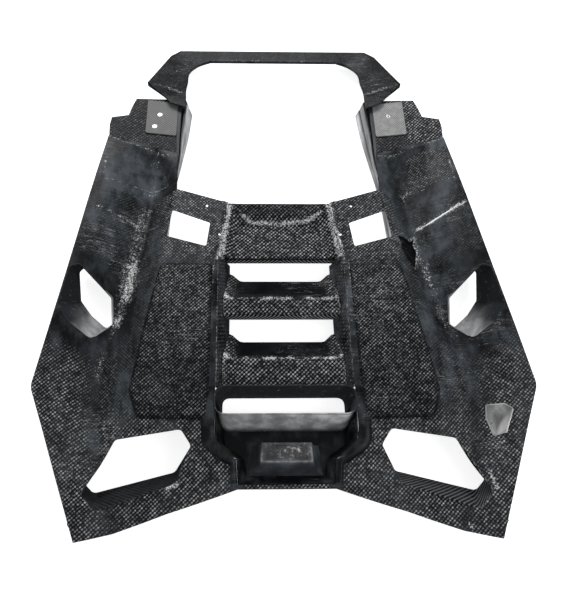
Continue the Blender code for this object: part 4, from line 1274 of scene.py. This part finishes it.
class COVER_OT_inner_walls(bpy.types.Operator):
    """Builds the blades between the hoop and the deck"""
    bl_idname = "cover.inner_walls"
    bl_label = "Inner Walls"

    def execute(self, context):
        finish = grey_skin(context, "blade_resin", 2.3)
        top, low = refined(WALL_TOP, 8), refined(WALL_LOW, 8)
        for hand, side in SIDES:
            rows = []
            for t in (0.0, 0.06, 0.12, 0.3, 0.44, 0.5, 0.56, 0.75, 0.93, 0.97, 1.0):
                out = 0.003 * math.exp(-((t - 0.5) / 0.05) ** 2)
                rows.append([(side * (a[0] + (b[0] - a[0]) * t + out), a[1] + (b[1] - a[1]) * t,
                              a[2] + (b[2] - a[2]) * t) for a, b in zip(top, low)])
            for t in (0.35, 0.7, 1.0):
                rows.append([(side * (x + t * float(np.interp(y, *LIP_WIDTH))), y, z + 0.002 * t)
                             for x, y, z in top])
            mesh = facing(loft(rows), towards=(0.0, 1.2, 0.05))
            add_piece(context, f"{hand}_inner_wall_skin", mesh, finish, [f"{hand}_inner_wall"],
                      wear_and_painted_light=inner_wall_dark_bands)
        return {"FINISHED"}


class COVER_OT_hidden_parts(bpy.types.Operator):
    """Finishes the foam cores and backing blocks that stay as they are"""
    bl_idname = "cover.hidden_parts"
    bl_label = "Cores and Backing"

    def execute(self, context):
        finishes = {"foam_core": foam("core_foam"), "backing": steel("backing_steel")}
        for name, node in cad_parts.items():
            for ending, finish in finishes.items():
                if name.endswith(ending):
                    for slot in node.material_slots:
                        slot.material = finish
        return {"FINISHED"}


def area_light(context, name, place, target, size, power):
    light = bpy.data.lights.new(name, "AREA")
    light.shape = "RECTANGLE"
    light.size, light.size_y = size
    light.energy = power
    lamp = bpy.data.objects.new(name, light)
    lamp.location = place
    lamp.rotation_euler = (Vector(target) - Vector(place)).to_track_quat("-Z", "Y").to_euler()
    context.scene.collection.objects.link(lamp)


def studio_piece(context, mesh, material):
    """Adds a mesh of the studio, hidden from the cover's gloss."""
    mesh.materials.append(material)
    piece = bpy.data.objects.new(mesh.name, mesh)
    context.scene.collection.objects.link(piece)
    piece.visible_glossy = False
    return piece


class COVER_OT_stage(bpy.types.Operator):
    """Sets the pale floor, the soft lights and the camera"""
    bl_idname = "cover.stage"
    bl_label = "Stage"

    def execute(self, context):
        settings = context.scene.cover_stage
        f = Finish("studio_floor")
        f.set(Base_Color=f.mix(f.noise(2.0, 3.0), shade(settings.floor_colour, 0.985), settings.floor_colour))
        f.set(Roughness=f.band(f.noise(5.0), 0.3, 0.7, 0.75, 0.85), Specular_IOR_Level=0.1)
        f.set(Emission_Color=(1.0, 1.0, 1.0), Emission_Strength=0.80)
        mesh = bpy.data.meshes.new("studio_floor")
        with editing(mesh) as bm:
            bmesh.ops.create_grid(bm, x_segments=24, y_segments=24, size=FLOOR_REACH)
        floor = studio_piece(context, mesh, f.material)
        floor.location.z = FLOOR_Z
        floor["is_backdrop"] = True
        mesh = bpy.data.meshes.new("studio_backdrop")
        with editing(mesh) as bm:
            bmesh.ops.create_cone(bm, segments=96, radius1=BACKDROP_RADIUS, radius2=BACKDROP_RADIUS,
                                  depth=BACKDROP_DEPTH)
            bmesh.ops.reverse_faces(bm, faces=bm.faces)
        backdrop = studio_piece(context, mesh, f.material)
        backdrop.visible_diffuse = backdrop.visible_shadow = False
        backdrop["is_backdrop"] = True

        world = bpy.data.worlds.new("studio")
        world.use_nodes = True
        tree = world.node_tree
        background = tree.nodes["Background"]
        place = tree.nodes.new("ShaderNodeTexCoord")
        parts = tree.nodes.new("ShaderNodeSeparateXYZ")
        fade = tree.nodes.new("ShaderNodeMapRange")
        fade.interpolation_type = "SMOOTHSTEP"
        for index, number in enumerate(WORLD_FADE, 1):
            fade.inputs[index].default_value = number
        tree.links.new(place.outputs["Generated"], parts.inputs[0])
        tree.links.new(parts.outputs[2], fade.inputs[0])
        tree.links.new(fade.outputs[0], background.inputs["Color"])
        background.inputs["Strength"].default_value = settings.surround
        context.scene.world = world
        context.scene.view_settings.view_transform = "Standard"
        area_light(context, "key", (-0.6, 2.6, 2.2), (0.0, 0.0, 0.1), (2.6, 1.4), settings.key_power)
        area_light(context, "fill", (1.8, -1.6, 2.2), (0.0, 0.0, 0.1), (1.6, 1.6), 0.4 * settings.key_power)

        pitch, yaw, roll = (math.radians(turn) for turn in CAMERA_TURN)
        rise, run = math.sin(pitch), math.cos(pitch)
        tilt = Matrix(((1, 0, 0), (0, -rise, -run), (0, run, -rise)))
        right, down, ahead = Matrix.Rotation(roll, 3, "Z") @ tilt @ Matrix.Rotation(yaw, 3, "Z")
        camera = bpy.data.objects.new("camera", bpy.data.cameras.new("camera"))
        camera.data.lens = settings.focal_length
        camera.data.shift_x = CAMERA_SHIFT
        axes = Matrix((right, -down, -ahead)).transposed().to_4x4()
        camera.matrix_world = Matrix.Translation((0.0, TAIL, 0.0)) @ Matrix.Translation(CAMERA_PLACE) @ axes
        context.scene.collection.objects.link(camera)
        context.scene.camera = camera
        return {"FINISHED"}


class COVER_PT_builder(bpy.types.Panel):
    bl_idname = "COVER_PT_builder"
    bl_label = "Rear Engine Cover"
    bl_space_type = "VIEW_3D"
    bl_region_type = "UI"
    bl_category = "Engine Cover"

    def draw(self, context):
        scene = context.scene
        for group in (scene.cover_sizes, scene.cover_colours, scene.cover_stage):
            box = self.layout.box()
            for name in group.bl_rna.properties.keys():
                if name not in {"rna_type", "name"}:
                    box.prop(group, name)
        for operator in OPERATORS:
            self.layout.operator(operator.bl_idname)


OPERATORS = (COVER_OT_main_shell, COVER_OT_core_panels, COVER_OT_spine, COVER_OT_rear_duct, COVER_OT_latch,
             COVER_OT_side_ducts, COVER_OT_vent_returns, COVER_OT_recess_cup, COVER_OT_arms,
             COVER_OT_arm_ends, COVER_OT_hoop, COVER_OT_inner_walls, COVER_OT_hidden_parts, COVER_OT_stage)
CLASSES = (CoverSizes, CoverColours, StageSettings, *OPERATORS, COVER_PT_builder)


def register():
    for cls in CLASSES:
        bpy.utils.register_class(cls)
    bpy.types.Scene.cover_sizes = bpy.props.PointerProperty(type=CoverSizes)
    bpy.types.Scene.cover_colours = bpy.props.PointerProperty(type=CoverColours)
    bpy.types.Scene.cover_stage = bpy.props.PointerProperty(type=StageSettings)


def unregister():
    del bpy.types.Scene.cover_stage
    del bpy.types.Scene.cover_colours
    del bpy.types.Scene.cover_sizes
    for cls in reversed(CLASSES):
        bpy.utils.unregister_class(cls)


def main():
    register()
    for operator in OPERATORS:
        getattr(bpy.ops.cover, operator.bl_idname.split(".")[1])()
    boxes = {"cad": cad_box, "visual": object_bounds()}
    boxes = {name: [[float(value) for value in corner] for corner in box] for name, box in boxes.items()}


if __name__ == "__main__":
    main()
